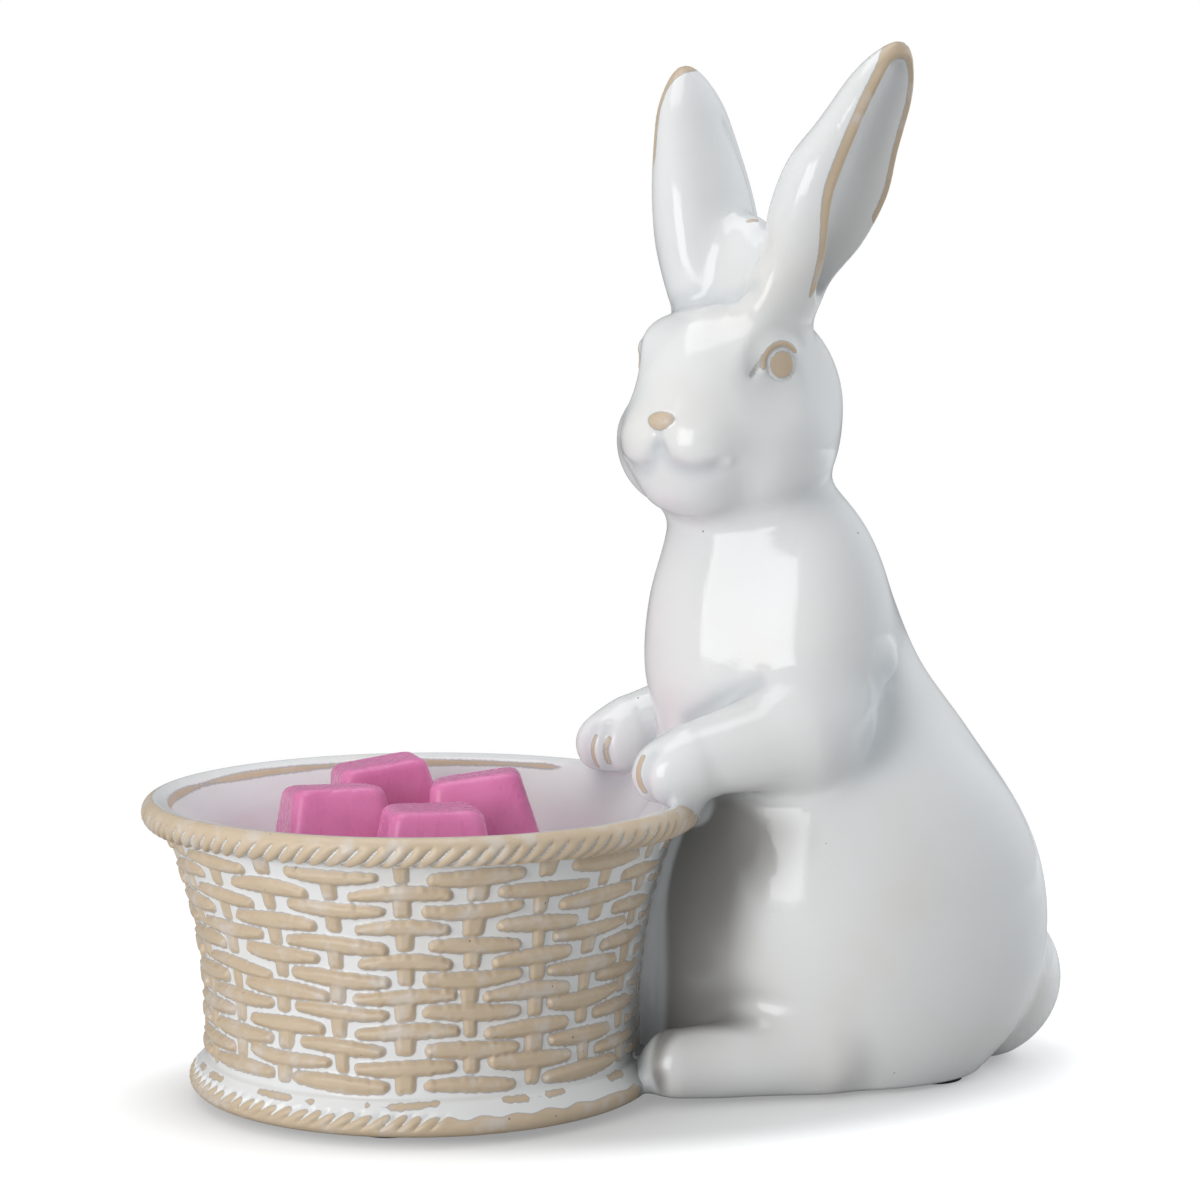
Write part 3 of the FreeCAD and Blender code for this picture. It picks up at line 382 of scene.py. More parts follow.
def creaseDepth(points):
    total = np.zeros(len(points))
    for line, reach, depth, fade in creaseLines:
        low, high = line.min(0) - reach * 2.2, line.max(0) + reach * 2.2
        close = ((points > low) & (points < high)).all(1)
        if close.any():
            deep = depth * np.exp(-(lineGap(points[close], line) / reach) ** 2)
            if fade:
                deep *= ramp(np.linalg.norm(points[close] - line[-1], axis=1), 0, fade)
            total[close] += deep
    return total


legs, arms = (-999, 100), (50, 135)  # heights between which they matter
forms = [  # the same on both sides: heights, shape, its places and sizes, how softly it joins
    (legs, ellipsoid, ((8, 18.5, 35), (34, 20, 38)), 11),  # haunch
    (legs, ellipsoid, ((-38, 0, 28), (26, 9.0, 34.5)), 13),  # lap
    (legs, limb, ((-43.0, 26.6, 8.2), (-12, 26.6, 9.0), 7.8, 8.8), 6),  # hind foot
    (legs, ellipsoid, ((32, 0, 18), (22, 21, 19.5)), 1.6),  # tail
    (arms, ellipsoid, ((-8, 14.0, 97), (15.5, 15.5, 30)), 9),  # shoulder
    (arms, ellipsoid, ((-13.5, 21.5, 78.6), (14.4, 13.2, 13.6)), 6),  # elbow
    (arms, limb, ((-15, 23.5, 77.8), (-38, 24.0, 73.2), 11.8, 8.0), 2.5),  # forearm
    (arms, ellipsoid, ((-42.5, 23.4, 70.2), (9.4, 8.2, 8.0)), 3),  # paw
]


def clay(p):  # the rabbit's large forms
    z = p[:, 2]
    side = bothSides(p)
    d = trunk(p)
    for (lowest, highest), shape, sizes, soft in forms:
        level = (z > lowest) & (z < highest)
        if level.any():
            d[level] = smoothMin(d[level], shape(side[level], *sizes), soft)
    high = z > rabbit["headFrom"]
    if high.any():
        d[high] = smoothMin(d[high], skull(p[high]), rabbit["neckSoft"])
    top = z > rabbit["earsFrom"]
    if top.any():
        for ear in ears:
            leaf, hollow, _ = earFields(p[top], ear)
            d[top] = smoothMin(d[top], smoothMax(leaf, -hollow, earHollow["soft"]), 4)
        d[top] = smoothMin(d[top], ellipsoid(p[top], *rabbit["web"]), rabbit["webSoft"])
    return d


def rabbitOnly(points):
    p = fromRabbit(points)
    d = clay(p) + creaseDepth(p)
    face = besideFace(p)
    if face.any():
        d[face] -= faceStamp(p[face])
    return d


meeting = {  # how the rabbit runs into the basket and stands
    "below": 90, "soft": 1.2, "softer": 2.8, "rimRadii": (53.5, 56.5), "rimHeights": (56, 60),
    "tuck": 0.5, "tuckGaps": (1.0, 4.0), "film": 0.1, "dishSoft": 2.0,
    "mouthDrop": 0.6, "mouthSoft": 3.0, "edgeSoft": 1.5,
    "skirt": 1.2, "skirtFrom": -48, "skirtTo": -30,
}


def figure(points):
    m = meeting
    d = rabbitOnly(points)
    low = points[:, 2] < m["below"]
    if low.any():
        alone = d[low]
        radius, z = np.hypot(points[low, 0], points[low, 1]), points[low, 2]
        outside = np.maximum(ramp(radius, *m["rimRadii"]), 1 - ramp(z, *m["rimHeights"]))
        joined = smoothMin(alone, basketCore(points[low]), m["soft"] + m["softer"] * outside)
        behind = m["tuck"] * ramp(alone, *m["tuckGaps"]) - m["film"]
        dish = smoothMax(radius - dishRadiusAt(z) - behind, basket["dishZ"] - behind - z, m["dishSoft"])
        dish = smoothMax(dish, z - basket["rimZ"] - basket["rimBead"] + m["mouthDrop"], m["mouthSoft"])
        d[low] = smoothMax(joined, -dish, m["edgeSoft"])
    skirt = m["skirt"] * ramp(points[:, 0], rabbitX + m["skirtFrom"], rabbitX + m["skirtTo"])
    return smoothMax(d, basket["baseZ"] - skirt - points[:, 2], 1.2)


def gradient(field, points, step=0.05):
    slope = np.empty_like(points)
    for axis in range(3):
        shift = np.zeros(3)
        shift[axis] = step
        slope[:, axis] = (field(points + shift) - field(points - shift)) / (2 * step)
    return slope


def castQuads(field, low, high, cell, block=4):  # surface where field is 0, sampled only near it
    low = np.array(low, float)
    blocks = np.ceil((np.array(high) - low) / (cell * block)).astype(int)
    steps = np.stack(np.meshgrid(*[np.arange(n) for n in blocks], indexing="ij"), -1).reshape(-1, 3)
    centres = low + (steps + 0.5) * block * cell
    coarse = field(centres)
    far = cell * block
    values = np.where(coarse > 0, far, -far).astype(np.float32).reshape(blocks)
    values = values.repeat(block, 0).repeat(block, 1).repeat(block, 2)
    near = steps[np.abs(coarse) < far * 0.87 * 1.5]
    offsets = np.stack(np.meshgrid(*[np.arange(block)] * 3, indexing="ij"), -1).reshape(-1, 3)
    chunk = 6000
    for start in range(0, len(near), chunk):
        index = (near[start:start + chunk, None, :] * block + offsets).reshape(-1, 3)
        values[index[:, 0], index[:, 1], index[:, 2]] = field(low + index * cell)
    grid = openvdb.FloatGrid(float(far))
    grid.copyFromArray(values)
    points, quads = grid.convertToQuads(0.0)
    return low + np.array(points, float) * cell, np.array(quads, int)


def settle(field, points, rounds):  # moves points onto the surface
    for _ in range(rounds):
        slope = gradient(field, points)
        points = points - slope * (field(points) / np.maximum((slope ** 2).sum(1), 1e-6))[:, None]
    return points


def relax(field, points, quads, rounds=2):  # evens the faces out along the surface
    for _ in range(rounds):
        total, count = np.zeros_like(points), np.zeros(len(points))
        for corner in range(4):
            here, there = quads[:, corner], quads[:, (corner + 1) % 4]
            np.add.at(total, here, points[there])
            np.add.at(total, there, points[here])
            np.add.at(count, here, 1)
            np.add.at(count, there, 1)
        shift = total / np.maximum(count, 1)[:, None] - points
        slope = gradient(field, points)
        slope /= np.linalg.norm(slope, axis=1)[:, None]
        points = points + 0.6 * (shift - slope * (shift * slope).sum(1)[:, None])
        points = settle(field, points, 1)
    return points


def facingOut(field, points, quads):  # turns all faces over if they look inwards
    a, b, c = points[quads[:, 0]], points[quads[:, 1]], points[quads[:, 2]]
    inwards = (np.cross(b - a, c - a) * gradient(field, a)).sum() < 0
    return quads[:, ::-1] if inwards else quads


def makeMesh(name, points, faces):
    mesh = bpy.data.meshes.new(name)
    mesh.from_pydata(toFrame(points), [], faces if isinstance(faces, list) else faces.tolist())
    mesh.validate()
    mesh.shade_smooth()
    piece = bpy.data.objects.new(name, mesh)
    bpy.context.scene.collection.objects.link(piece)
    return piece


def setShare(piece, name, values):  # a value for each point that materials read
    layer = piece.data.attributes.new(name, "FLOAT", "POINT")
    layer.data.foreach_set("value", np.ascontiguousarray(values, np.float32))


def smoothLine(line, rounds=2):  # rounds the corners of a short line
    for _ in range(rounds):
        early, late = line[:-1] * 0.75 + line[1:] * 0.25, line[:-1] * 0.25 + line[1:] * 0.75
        line = np.vstack([line[:1], np.stack([early, late], 1).reshape(-1, 3), line[-1:]])
    return line


def layCreases():
    laid = []
    for axes, sides, reach, depth, fade, places in creases:
        for side in sides:
            line = np.array([axes(place, side) for place in np.array(places, float)])
            laid.append((settle(clay, smoothLine(line), 4), reach, depth, fade))
    return laid


def refine(points, faces, chosen):  # splits the chosen faces in four, their neighbours stay joined
    work = bmesh.new()
    corners = [work.verts.new(point) for point in points]
    made = [work.faces.new([corners[index] for index in face]) for face in faces]
    edges = {edge for index in chosen for edge in made[index].edges}
    bmesh.ops.subdivide_edges(work, edges=list(edges), cuts=1, use_grid_fill=True)
    work.verts.index_update()
    points = np.array([corner.co for corner in work.verts])
    faces = [[corner.index for corner in face.verts] for face in work.faces]
    work.free()
    return points, faces


fine = {  # the mouth in the head's axes, the ears' edges, the toes
    "mouthLow": (-99, -14, -15), "mouthHigh": (-18, 14, 4),
    "edge": 1.7, "edgeStart": 0.02, "tip": 0.9, "tipGap": 2, "toes": (-45, 23, 70), "toesReach": 12,
}


def fineSpots(centres):  # where the sculpt needs small faces
    p = fromRabbit(centres)
    local = headLocal(p)
    chosen = ((local > fine["mouthLow"]) & (local < fine["mouthHigh"])).all(1)
    for kind, _, axes in frames:
        chosen |= ((p - axes[0]) ** 2).sum(1) < faceReach[kind][1] ** 2
    for ear in ears:
        leaf, hollow, share = earFields(p, ear)
        edge = np.maximum(np.abs(leaf), np.abs(hollow)) < fine["edge"]
        chosen |= (share > fine["edgeStart"]) & edge | (share > fine["tip"]) & (leaf < fine["tipGap"])
    return chosen | (np.linalg.norm(bothSides(p) - fine["toes"], axis=1) < fine["toesReach"])


def sculptRabbit():
    low, high = (np.array(corner) + [rabbitX, 0, 0] for corner in rabbit["room"])
    points, quads = castQuads(figure, low, high, rabbit["cell"])
    hidden = (rabbitOnly(points) > rabbit["inside"]) & (basketCore(points, 0.0) < rabbit["sunk"])
    hidden |= points[:, 0] < rabbitX + rabbit["foremost"]
    quads = quads[~hidden[quads].all(1)]
    used, quads = np.unique(quads, return_inverse=True)
    points, quads = points[used], quads.reshape(-1, 4)
    points = relax(figure, settle(figure, points, 2), quads)
    quads = facingOut(figure, points, quads)
    points, faces = refine(points, quads.tolist(), np.flatnonzero(fineSpots(points[quads].mean(1))))
    points = settle(figure, points, 2)
    print("rabbit sculpted:", len(points), "points")
    return points, faces


def rabbitBare(points):  # millimetres inside the unglazed touches, below 0 under the glaze
    p = fromRabbit(points)
    bare = np.where(besideFace(p), faceStamp(p, 1), -1.0)
    for ear in ears:
        leaf, hollow, share = earFields(p, ear)
        base, _, _, back, _ = earAxes(ear)
        rear = ramp((p - base) @ back, -2.5, 1.5)
        (frontHalf, frontStart), (rearHalf, rearStart) = ear["rims"]
        half = frontHalf + (rearHalf - frontHalf) * rear + 0.8 * ramp(share, 0.9, 1.0)
        starts = frontStart + (rearStart - frontStart) * rear
        rim = half - np.maximum(np.abs(leaf), np.abs(hollow)) - 3 * (1 - ramp(share, starts, starts + 0.07))
        bare = np.maximum(bare, np.where(leaf < 2.5, rim, -1.0))
    for line, half in touches:
        bare = np.maximum(bare, half - lineGap(p, line))
    return np.clip(bare, -1.0, 2.0)


def hollowShare(field, points, out, reaches):  # 0 on open surfaces to 1 deep in a hollow
    total = 0
    for reach in reaches:
        total = total + np.clip((reach - field(points + out * reach)) / reach, 0, 1)
    return total / len(reaches)


poolAndShading = {  # where the glaze pools and painted shade greys hollows and creases, and painted shade where the room's light fails beside and under the rabbit
    "poolAndShadeReaches": (1.5, 4.0, 9.0), "wallReaches": (3.0, 8.0), "shadeReaches": (12.0, 24.0, 40.0),
    "valley": 0.72, "valleyGaps": (8, 36), "valleyLow": (0.45, 0.55), "valleyHeights": (12, 28),
    "topHeights": (56, 72), "touching": (0.8, 4.0), "dishRadii": (50, 54),
    "weavePoolAndShade": 0.12, "wallShade": 0.8,
}


def paintPoolAndShade(piece, points):
    out = gradient(figure, points)
    out /= np.linalg.norm(out, axis=1)[:, None]
    # painted shade in hollows and creases, mixed with the glaze's own pooling, greys the white glaze
    pool = hollowShare(figure, points, out, poolAndShading["poolAndShadeReaches"]) + creaseDepth(fromRabbit(points))
    setShare(piece, "pool", np.minimum(pool, 1.0))
    # painted shade: enclosed hollows and the valley beside the basket are darkened in colour
    shade = hollowShare(figure, points, out, poolAndShading["shadeReaches"])
    z, gap = points[:, 2], basketCore(points, 0.0)
    low, more = poolAndShading["valleyLow"]
    valley = poolAndShading["valley"] * (1 - ramp(gap, *poolAndShading["valleyGaps"]))
    shade = np.maximum(shade, valley * (low + more * ramp(z, *poolAndShading["valleyHeights"])))
    shade = shade * (1 - ramp(z, *poolAndShading["topHeights"])) * ramp(gap, *poolAndShading["touching"])
    setShare(piece, "shade", shade * ramp(np.hypot(points[:, 0], points[:, 1]), *poolAndShading["dishRadii"]))


def glazePiece(piece):
    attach(piece, "warmer")
    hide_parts("ceramic_body")


creaseLines = layCreases()
frames = faceFrames()
touches = [  # unglazed lines on the toes of the far and near paw and between the ears, half their width
    ([(-48.9, 18.6, 72.6), (-50.0, 18.5, 69.8), (-49.0, 18.8, 65.0)], 0.65),
    ([(-46.9, 15.7, 72.4), (-47.9, 15.6, 69.5), (-46.9, 15.8, 65.8)], 0.8),
    ([(-49.6, -25.0, 73.6), (-51.4, -25.6, 70.4), (-50.8, -26.6, 66.5)], 0.65),
    ([(-20.6, -2.4, 187.0), (-19.6, -2.8, 187.6), (-18.6, -3.0, 188.0)], 0.5),
]
touches = [(settle(clay, smoothLine(np.array(line)), 4), half) for line, half in touches]
points, faces = sculptRabbit()
rabbitPiece = makeMesh("glazed_rabbit", points, faces)
setShare(rabbitPiece, "bare", rabbitBare(points))
paintPoolAndShade(rabbitPiece, points)
glazePiece(rabbitPiece)


weave = {
    "stakes": 22, "firstStake": -90.2,  # where one stake stands, in degrees about the axis
    "topRow": 55.75, "rowPitch": 3.64, "rows": 14,
    "strandHalfLong": 10.3, "strandHalfTall": 1.72, "strandRound": 0.92, "taper": 0.38,
    "stakeHalfWide": 2.0, "stubEnd": 5.1, "stubRound": 0.9,
    "lastLong": 0.72, "lastTall": 0.33, "lastBroken": 0.7,  # the lowest strands are short and worn
    "relief": 1.1, "sunk": 0.42, "stakeRelief": 0.62,
    "twists": 103, "twistSlant": 0.66, "twistDepth": 0.95, "scallop": 0.5,
    "footTwists": 90, "footTwistDepth": 0.8, "ropedFrom": (92, 106),
    "melt": (27, 46),  # degrees from the rabbit within which the glaze drowns the weave
    "columns": 1030, "seed": 7,
}
vary = {  # how far the strands differ from each other
    "shift": 0.6, "drop": 0.3, "slant": 0.045, "bow": 0.006, "long": 0.09, "tall": 0.1, "wedge": 0.1,
    "stubShift": 0.35, "stubWide": 0.14, "stubLong": 0.35,
}
waves = {  # slow wandering of lines and edges: height, first dice, turns about the axis, pitch
    "row": (0.35, 0, 9, 14), "column": (0.045, 4, 15, 8), "edge": (0.16, 28, 120, 2.0),
    "break": (1, 32, 26, 9), "melt": (0.8, 8, 60, 2.2), "rim": (0.12, 12, 70, 3),
    "foot": (0.22, 16, 40, 5), "lip": (0.16, 24, 11, 3),
}
strandDice = np.random.default_rng(weave["seed"]).uniform(-1, 1, (weave["rows"] + 2, weave["stakes"], 6))
waveDice = np.random.default_rng(weave["seed"] + 1).uniform(0, 1, (40, 3))


def waver(kind, theta, along):
    height, first, turns, pitch = waves[kind]
    total = 0
    for phase, share, tilt in waveDice[first:first + 4]:
        rise = along / pitch * (tilt + 0.3)
        total = total + np.sin(theta * round(turns * (0.5 + share)) + rise + phase * 6.28)
    return height * (total / 4)


def roundBar(u, v, halfLong, halfTall, corner):  # millimetres inside a bar with round corners
    past, over = np.abs(u) - halfLong + corner, np.abs(v) - halfTall + corner
    outside = np.hypot(np.maximum(past, 0), np.maximum(over, 0))
    return corner - outside - np.minimum(np.maximum(past, over), 0)


def strandField(theta, z):
    stakes, rows = weave["stakes"], weave["rows"]
    z = z + waver("row", theta, z)
    column = (np.degrees(theta) - weave["firstStake"]) / 360 * stakes + waver("column", theta, z)
    row = (weave["topRow"] - z) / weave["rowPitch"]
    pitch = 2 * math.pi * wallRadiusAt(z) / stakes
    edge = waver("edge", theta, z)
    broken = weave["lastBroken"] * ramp(waver("break", theta, z), 0.05, 0.4)
    none = -9.0
    strand, stake = np.full(theta.shape, none), np.full(theta.shape, none)
    for down, across in ((-1, 0), (-1, 1), (0, 0), (0, 1), (1, 0), (1, 1)):
        j = np.floor(row) + down
        k = np.floor(column) + across
        dice = strandDice[np.clip(j + 1, 0, rows + 1).astype(int), k.astype(int) % stakes]
        shift, drop, slant, longer, taller, skew = np.moveaxis(dice, -1, 0)
        u = (column - k) * pitch
        v = (row - j) * weave["rowPitch"] + vary["drop"] * drop + u * vary["slant"] * slant
        laid = ((j + k) % 2 == 0) & (j >= -1) & (j < rows)
        last = j >= rows - 1
        long = weave["strandHalfLong"] * (1 + vary["long"] * longer) * np.where(last, weave["lastLong"], 1)
        tall = weave["strandHalfTall"] * (1 + vary["tall"] * taller) * (1 - vary["wedge"] * skew * u / long)
        tall = tall * (1 - weave["taper"] * (u / long) ** 2) * np.where(last, weave["lastTall"], 1)
        bowed = v + vary["bow"] * skew * u ** 2
        bar = roundBar(u + vary["shift"] * shift, bowed, long, tall, weave["strandRound"] * tall)
        bar = bar + edge - np.where(last, broken, 0)
        strand = np.maximum(strand, np.where(laid & (j >= 0), bar, none))
        halfWide = weave["stakeHalfWide"] * (1 + vary["stubWide"] * slant) * (1 - 0.03 * v)
        stubEnd = (weave["stubEnd"] + vary["stubLong"] * shift) / 2
        stub = roundBar(u + vary["stubShift"] * longer, v - stubEnd, halfWide, stubEnd, weave["stubRound"])
        stake = np.maximum(stake, np.where(laid & (j < rows - 2), stub + edge, none))
    return np.maximum(strand, stake), strand, stake


def rope(bead, theta, r, z, turns):  # angle about the bead, 0 to 1 over its strands, grooves and slits
    angle = np.arctan2(z - basket[bead + "Z"], r - basket[bead + "Radius"])
    phase = theta / (2 * math.pi) * turns - weave["twistSlant"] * angle
    phase = phase + 0.12 * np.sin(theta * 5 + 1) + 0.08 * np.sin(theta * 17)
    strand = np.abs(np.sin(math.pi * phase))
    return angle, strand, 1 - strand ** 0.6, 1 - ramp(strand, 0.08, 0.42)


def basketProfile():
    b = basket
    rows = []

    def line(start, end, step, zone):
        count = max(2, int(round(math.dist(start, end) / step)))
        for share in np.linspace(0, 1, count, endpoint=False):
            rows.append(tuple(a + (b - a) * share for a, b in zip(start, end)) + (zone,))

    def arc(centre, radius, first, last, step, zone):
        count = max(3, int(round(abs(math.radians(last - first)) * radius / step)))
        for angle in np.radians(np.linspace(first, last, count, endpoint=False)):
            rows.append((centre[0] + radius * math.cos(angle), centre[1] + radius * math.sin(angle), zone))

    line((b["chamberRadius"], b["chamberTop"]), (b["chamberRadius"], b["baseZ"] + 0.4), 3.0, 0)
    line((b["chamberRadius"] + 0.4, b["baseZ"]), (b["footRadius"] - 0.3, b["baseZ"]), 1.2, 0)
    arc((b["footRadius"], b["footZ"]), b["footBead"], -90, 62, 0.3, 0)
    line(b["footEdge"], (b["wallRadius"] + 0.25, b["footTop"]), 0.4, 0)
    for z in np.arange(b["wallZ"], b["neckZ"] - 0.7, 0.42):
        rows.append((float(wallRadiusAt(z)), z, 1))
    arc((b["rimRadius"], b["rimZ"]), b["rimBead"], -118, 92, 0.3, 2)
    arc((b["lipRadius"] + b["lipBead"], b["lipZ"] - 0.2), b["lipBead"], 85, 180, 0.35, 2)
    for z in np.arange(b["lipZ"] - 0.9, b["dishZ"] + 0.15, -0.6):
        rows.append((float(dishRadiusAt(z)), z, 3))
    line((b["dishFlat"] - 0.8, b["dishZ"]), (0.4, b["dishZ"]), 2.0, 3)
    return np.array(rows)


def evenOut(values, rounds=4):  # takes the kinks out of the profile, its ends kept
    for _ in range(rounds):
        values[1:-1] = 0.25 * values[:-2] + 0.5 * values[1:-1] + 0.25 * values[2:]
    return values


def foldWeave(theta, z, melt):  # height over the plain wall and millimetres inside the bare clay
    field, strand, stake = strandField(theta, z)
    ends = ramp(z, 6.6, 7.6) * (1 - ramp(z, 57.6, 58.6))
    stake = weave["stakeRelief"] * ramp(stake, -0.2, 1.1)
    lift = np.maximum(ramp(strand, -0.2, 1.0), stake) * (1 - 0.8 * melt)
    lift = weave["relief"] * (lift * ends * ramp(z, 8.0, 12.0) - weave["sunk"])
    field = field - melt * (0.9 + waver("melt", theta, z))
    return lift, np.where(ends > 0.5, field, -1.0)


def ropeRim(theta, r, z, melt, towardsRabbit):
    angle, strand, groove, slit = rope("rim", theta, r, z, weave["twists"])
    below = 1 - ramp(angle, 0.05, 0.65)  # the rope fades into the smooth top
    scallop = (1 - strand) * ramp(-angle, 0.5, 1.3)
    lift = -weave["twistDepth"] * (groove * below * (1 - 0.6 * melt)) - weave["scallop"] * scallop
    tan = 0.75 - ramp(angle, 1.1, 1.6) * 2 - ramp(-angle, 1.5, 1.85) * 2
    tan = tan - 1.4 * slit * below - 1.5 * scallop
    return lift, tan - 2.2 * (1 - ramp(towardsRabbit, 22, 30)) + waver("rim", theta, z)


def ropeFoot(theta, r, z, melt, towardsRabbit):
    angle, strand, groove, slit = rope("foot", theta, r, z, weave["footTwists"])
    roped = np.where(theta > 0, 1.0, ramp(towardsRabbit, *weave["ropedFrom"]))
    cut = ramp(angle, -0.45, 0.1)
    top = 0.62 + waver("foot", theta, z) + roped * (0.5 * strand - 0.1)
    tan = 2.4 * (top - angle) - 1.4 * (slit * roped * cut)
    tan = np.minimum(tan, 0.9) - 2.5 * melt * (towardsRabbit < 40)
    lift = -weave["footTwistDepth"] * (groove * roped * cut) * (1 - ramp(angle, 1.0, 1.4))
    return lift, tan


def basketSurface():
    rows = basketProfile()
    radius, height, zone = evenOut(rows[:, 0]), evenOut(rows[:, 1]), rows[:, 2].astype(int)
    tangent = np.stack([np.gradient(radius), np.gradient(height)], 1)
    tangent /= np.linalg.norm(tangent, axis=1)[:, None]
    normal = np.stack([tangent[:, 1], -tangent[:, 0]], 1)
    theta = np.linspace(-math.pi, math.pi, weave["columns"], endpoint=False)
    theta, row = np.meshgrid(theta, np.arange(len(radius)))
    z, r, rowZone = height[row], radius[row], zone[row]
    towardsRabbit = np.abs(np.degrees(theta))
    melt = 1 - ramp(towardsRabbit, *weave["melt"])

    lift, tan = foldWeave(theta, z, melt)
    rimLift, rimTan = ropeRim(theta, r, z, melt, towardsRabbit)
    footLift, footTan = ropeFoot(theta, r, z, melt, towardsRabbit)
    footTan = np.maximum(footTan, tan)
    lipTan = 0.34 - 0.62 * np.abs(z - basket["lipZ"] + 0.35)
    lipTan = lipTan + waver("lip", theta, 0.0) - 2.5 * (1 - ramp(towardsRabbit, 28, 48))
    rimTan = np.where(r < basket["rimRadius"] - 0.6, lipTan, rimTan)
    lift = np.choose(rowZone, [footLift, lift, rimLift, np.zeros(theta.shape)])
    tan = np.choose(rowZone, [footTan, tan, rimTan, lipTan])
    tan = np.where((rowZone == 0) & (z < basket["baseZ"] + 0.5), 1.0, tan)
    cordGap = np.hypot(r * np.cos(theta), z - basket["cordZ"])
    atCord = (theta > 0) * (1 - ramp(cordGap, *basket["cordSeat"])) * (rowZone < 2)
    lift, tan = lift * (1 - atCord) - 0.3 * atCord, tan - 3 * atCord

    out = r + normal[row, 0] * lift
    points = np.stack([out * np.cos(theta), out * np.sin(theta), z + normal[row, 1] * lift], -1)
    along = np.roll(points, -1, 1) - np.roll(points, 1, 1)
    normals = np.cross(along, np.gradient(points, axis=0))
    normals /= np.linalg.norm(normals, axis=2)[..., None]
    plain = np.stack([normal[row, 0] * np.cos(theta), normal[row, 0] * np.sin(theta), normal[row, 1]], -1)
    near = towardsRabbit < 100
    # painted shade in the weave's grooves and where the rabbit closes in, mixed with the glaze's own pooling
    pool, shade = poolAndShading["weavePoolAndShade"] * ramp(-lift, 0.1, 0.6) * (rowZone == 1), np.zeros(theta.shape)
    pool[near] = np.maximum(pool[near], hollowShare(rabbitOnly, points[near], plain[near], poolAndShading["wallReaches"]))
    # painted shade on the wall where the rabbit closes in
    shade[near] = hollowShare(rabbitOnly, points[near], plain[near], poolAndShading["shadeReaches"])
    shade *= poolAndShading["wallShade"] * (rowZone < 2)
    return points, normals, (tan, pool, shade), rowZone[:, 0]


def gridPiece(name, grid, first, last, closed=False):
    points, normals, shares, _ = grid
    columns = points.shape[1]
    row, column = np.meshgrid(np.arange(first, last), np.arange(columns), indexing="ij")
    beside = (column + 1) % columns
    quads = np.stack([row * columns + column, row * columns + beside,
                      (row + 1) * columns + beside, (row + 1) * columns + column], -1).reshape(-1, 4)
    flat, upright = points.reshape(-1, 3), normals.reshape(-1, 3)
    shares = [values.reshape(-1) for values in shares]
    if closed:  # a fan about its middle fills the last ring
        even = np.arange(0, columns, 2)
        ring = last * columns + even
        fan = [ring, ring + 1, last * columns + (even + 2) % columns, np.full(len(ring), len(flat))]
        quads = np.concatenate([quads, np.stack(fan, -1)])
        flat, upright = np.vstack([flat, flat[ring].mean(0)]), np.vstack([upright, (0, 0, 1)])
        shares = [np.append(values, values[ring].mean()) for values in shares]
    quads = quads[outsideRabbit(flat[quads].mean(1))]
    used, quads = np.unique(quads, return_inverse=True)
    piece = makeMesh(name, flat[used], quads.reshape(-1, 4))
    piece.data.normals_split_custom_set_from_vertices(upright[used])
    for share, values in zip(("bare", "pool", "shade"), shares):
        setShare(piece, share, values[used])
    glazePiece(piece)
    return piece


def outsideRabbit(points):  # the basket's faces that show, less its cord hole
    cordHole = np.hypot(points[:, 0], points[:, 2] - basket["cordZ"]) < basket["cordHole"]
    return (rabbitOnly(points) > -2.5) & ~(cordHole & (points[:, 1] > 30))


grid = basketSurface()
starts = [np.flatnonzero(grid[3] == zone)[0] for zone in range(4)]
ends = starts[1:] + [len(grid[3]) - 1]
basketPieces = [
    gridPiece(name, grid, starts[zone], ends[zone], closed=name == "wax_dish")
    for zone, name in enumerate(("foot_rope", "woven_wall", "rope_rim", "wax_dish"))
]
print("basket woven:", [len(piece.data.polygons) for piece in basketPieces])


waxCube = {
    "base": 25.6, "height": 19.0, "draft": 10.0, "edge": 2.4, "gap": 0.3, "cell": 0.4,
    "bulge": 0.18, "sunk": 0.35, "ripple": 0.2, "rippleReach": 14, "rippleTurns": 0.85,
    "places": {  # middle of the base about the basket's axis, then turn, pitch and roll in degrees
        "front_cube": (-3.5, -26.5, -5, 0, -3),
        "left_cube": (-19.0, 1.5, 0, 0, -6),
        "right_cube": (14.0, 0.3, -12, -8, -5),
        "back_cube": (-1.5, 29.2, 0, -8, -3),
    },
}


def waxField(points, seed):
    x, y, z = points[:, 0], points[:, 1], points[:, 2]
    half, edge, lean = waxCube["base"] / 2, waxCube["edge"], math.radians(waxCube["draft"])
    bulge = waxCube["bulge"] * np.sin(x * 0.21 + seed) * np.sin(y * 0.19 + 2 * seed)
    reach = half - z * math.tan(lean) + bulge
    sides = smoothMax(*((np.abs(side) - reach) * math.cos(lean) for side in (x, y)), edge * 1.3)
    curl = np.hypot(x - 5 * math.sin(seed * 2.1), y - 5 * math.cos(seed * 1.3))
    around = 2.2 * np.arctan2(y + 1.5, x - 2.0 * math.cos(seed))
    swirl = np.abs(np.sin(curl * waxCube["rippleTurns"] + around + seed))
    ripple = waxCube["ripple"] * (1 - ramp(swirl, 0.0, 0.55)) * (1 - (curl / waxCube["rippleReach"]) ** 2)
    sunk = waxCube["sunk"] * (1 - (x / half) ** 2) * (1 - (y / half) ** 2)
    top = z - waxCube["height"] + sunk + ripple
    return smoothMax(smoothMax(sides, top, edge), -z, 1.0)


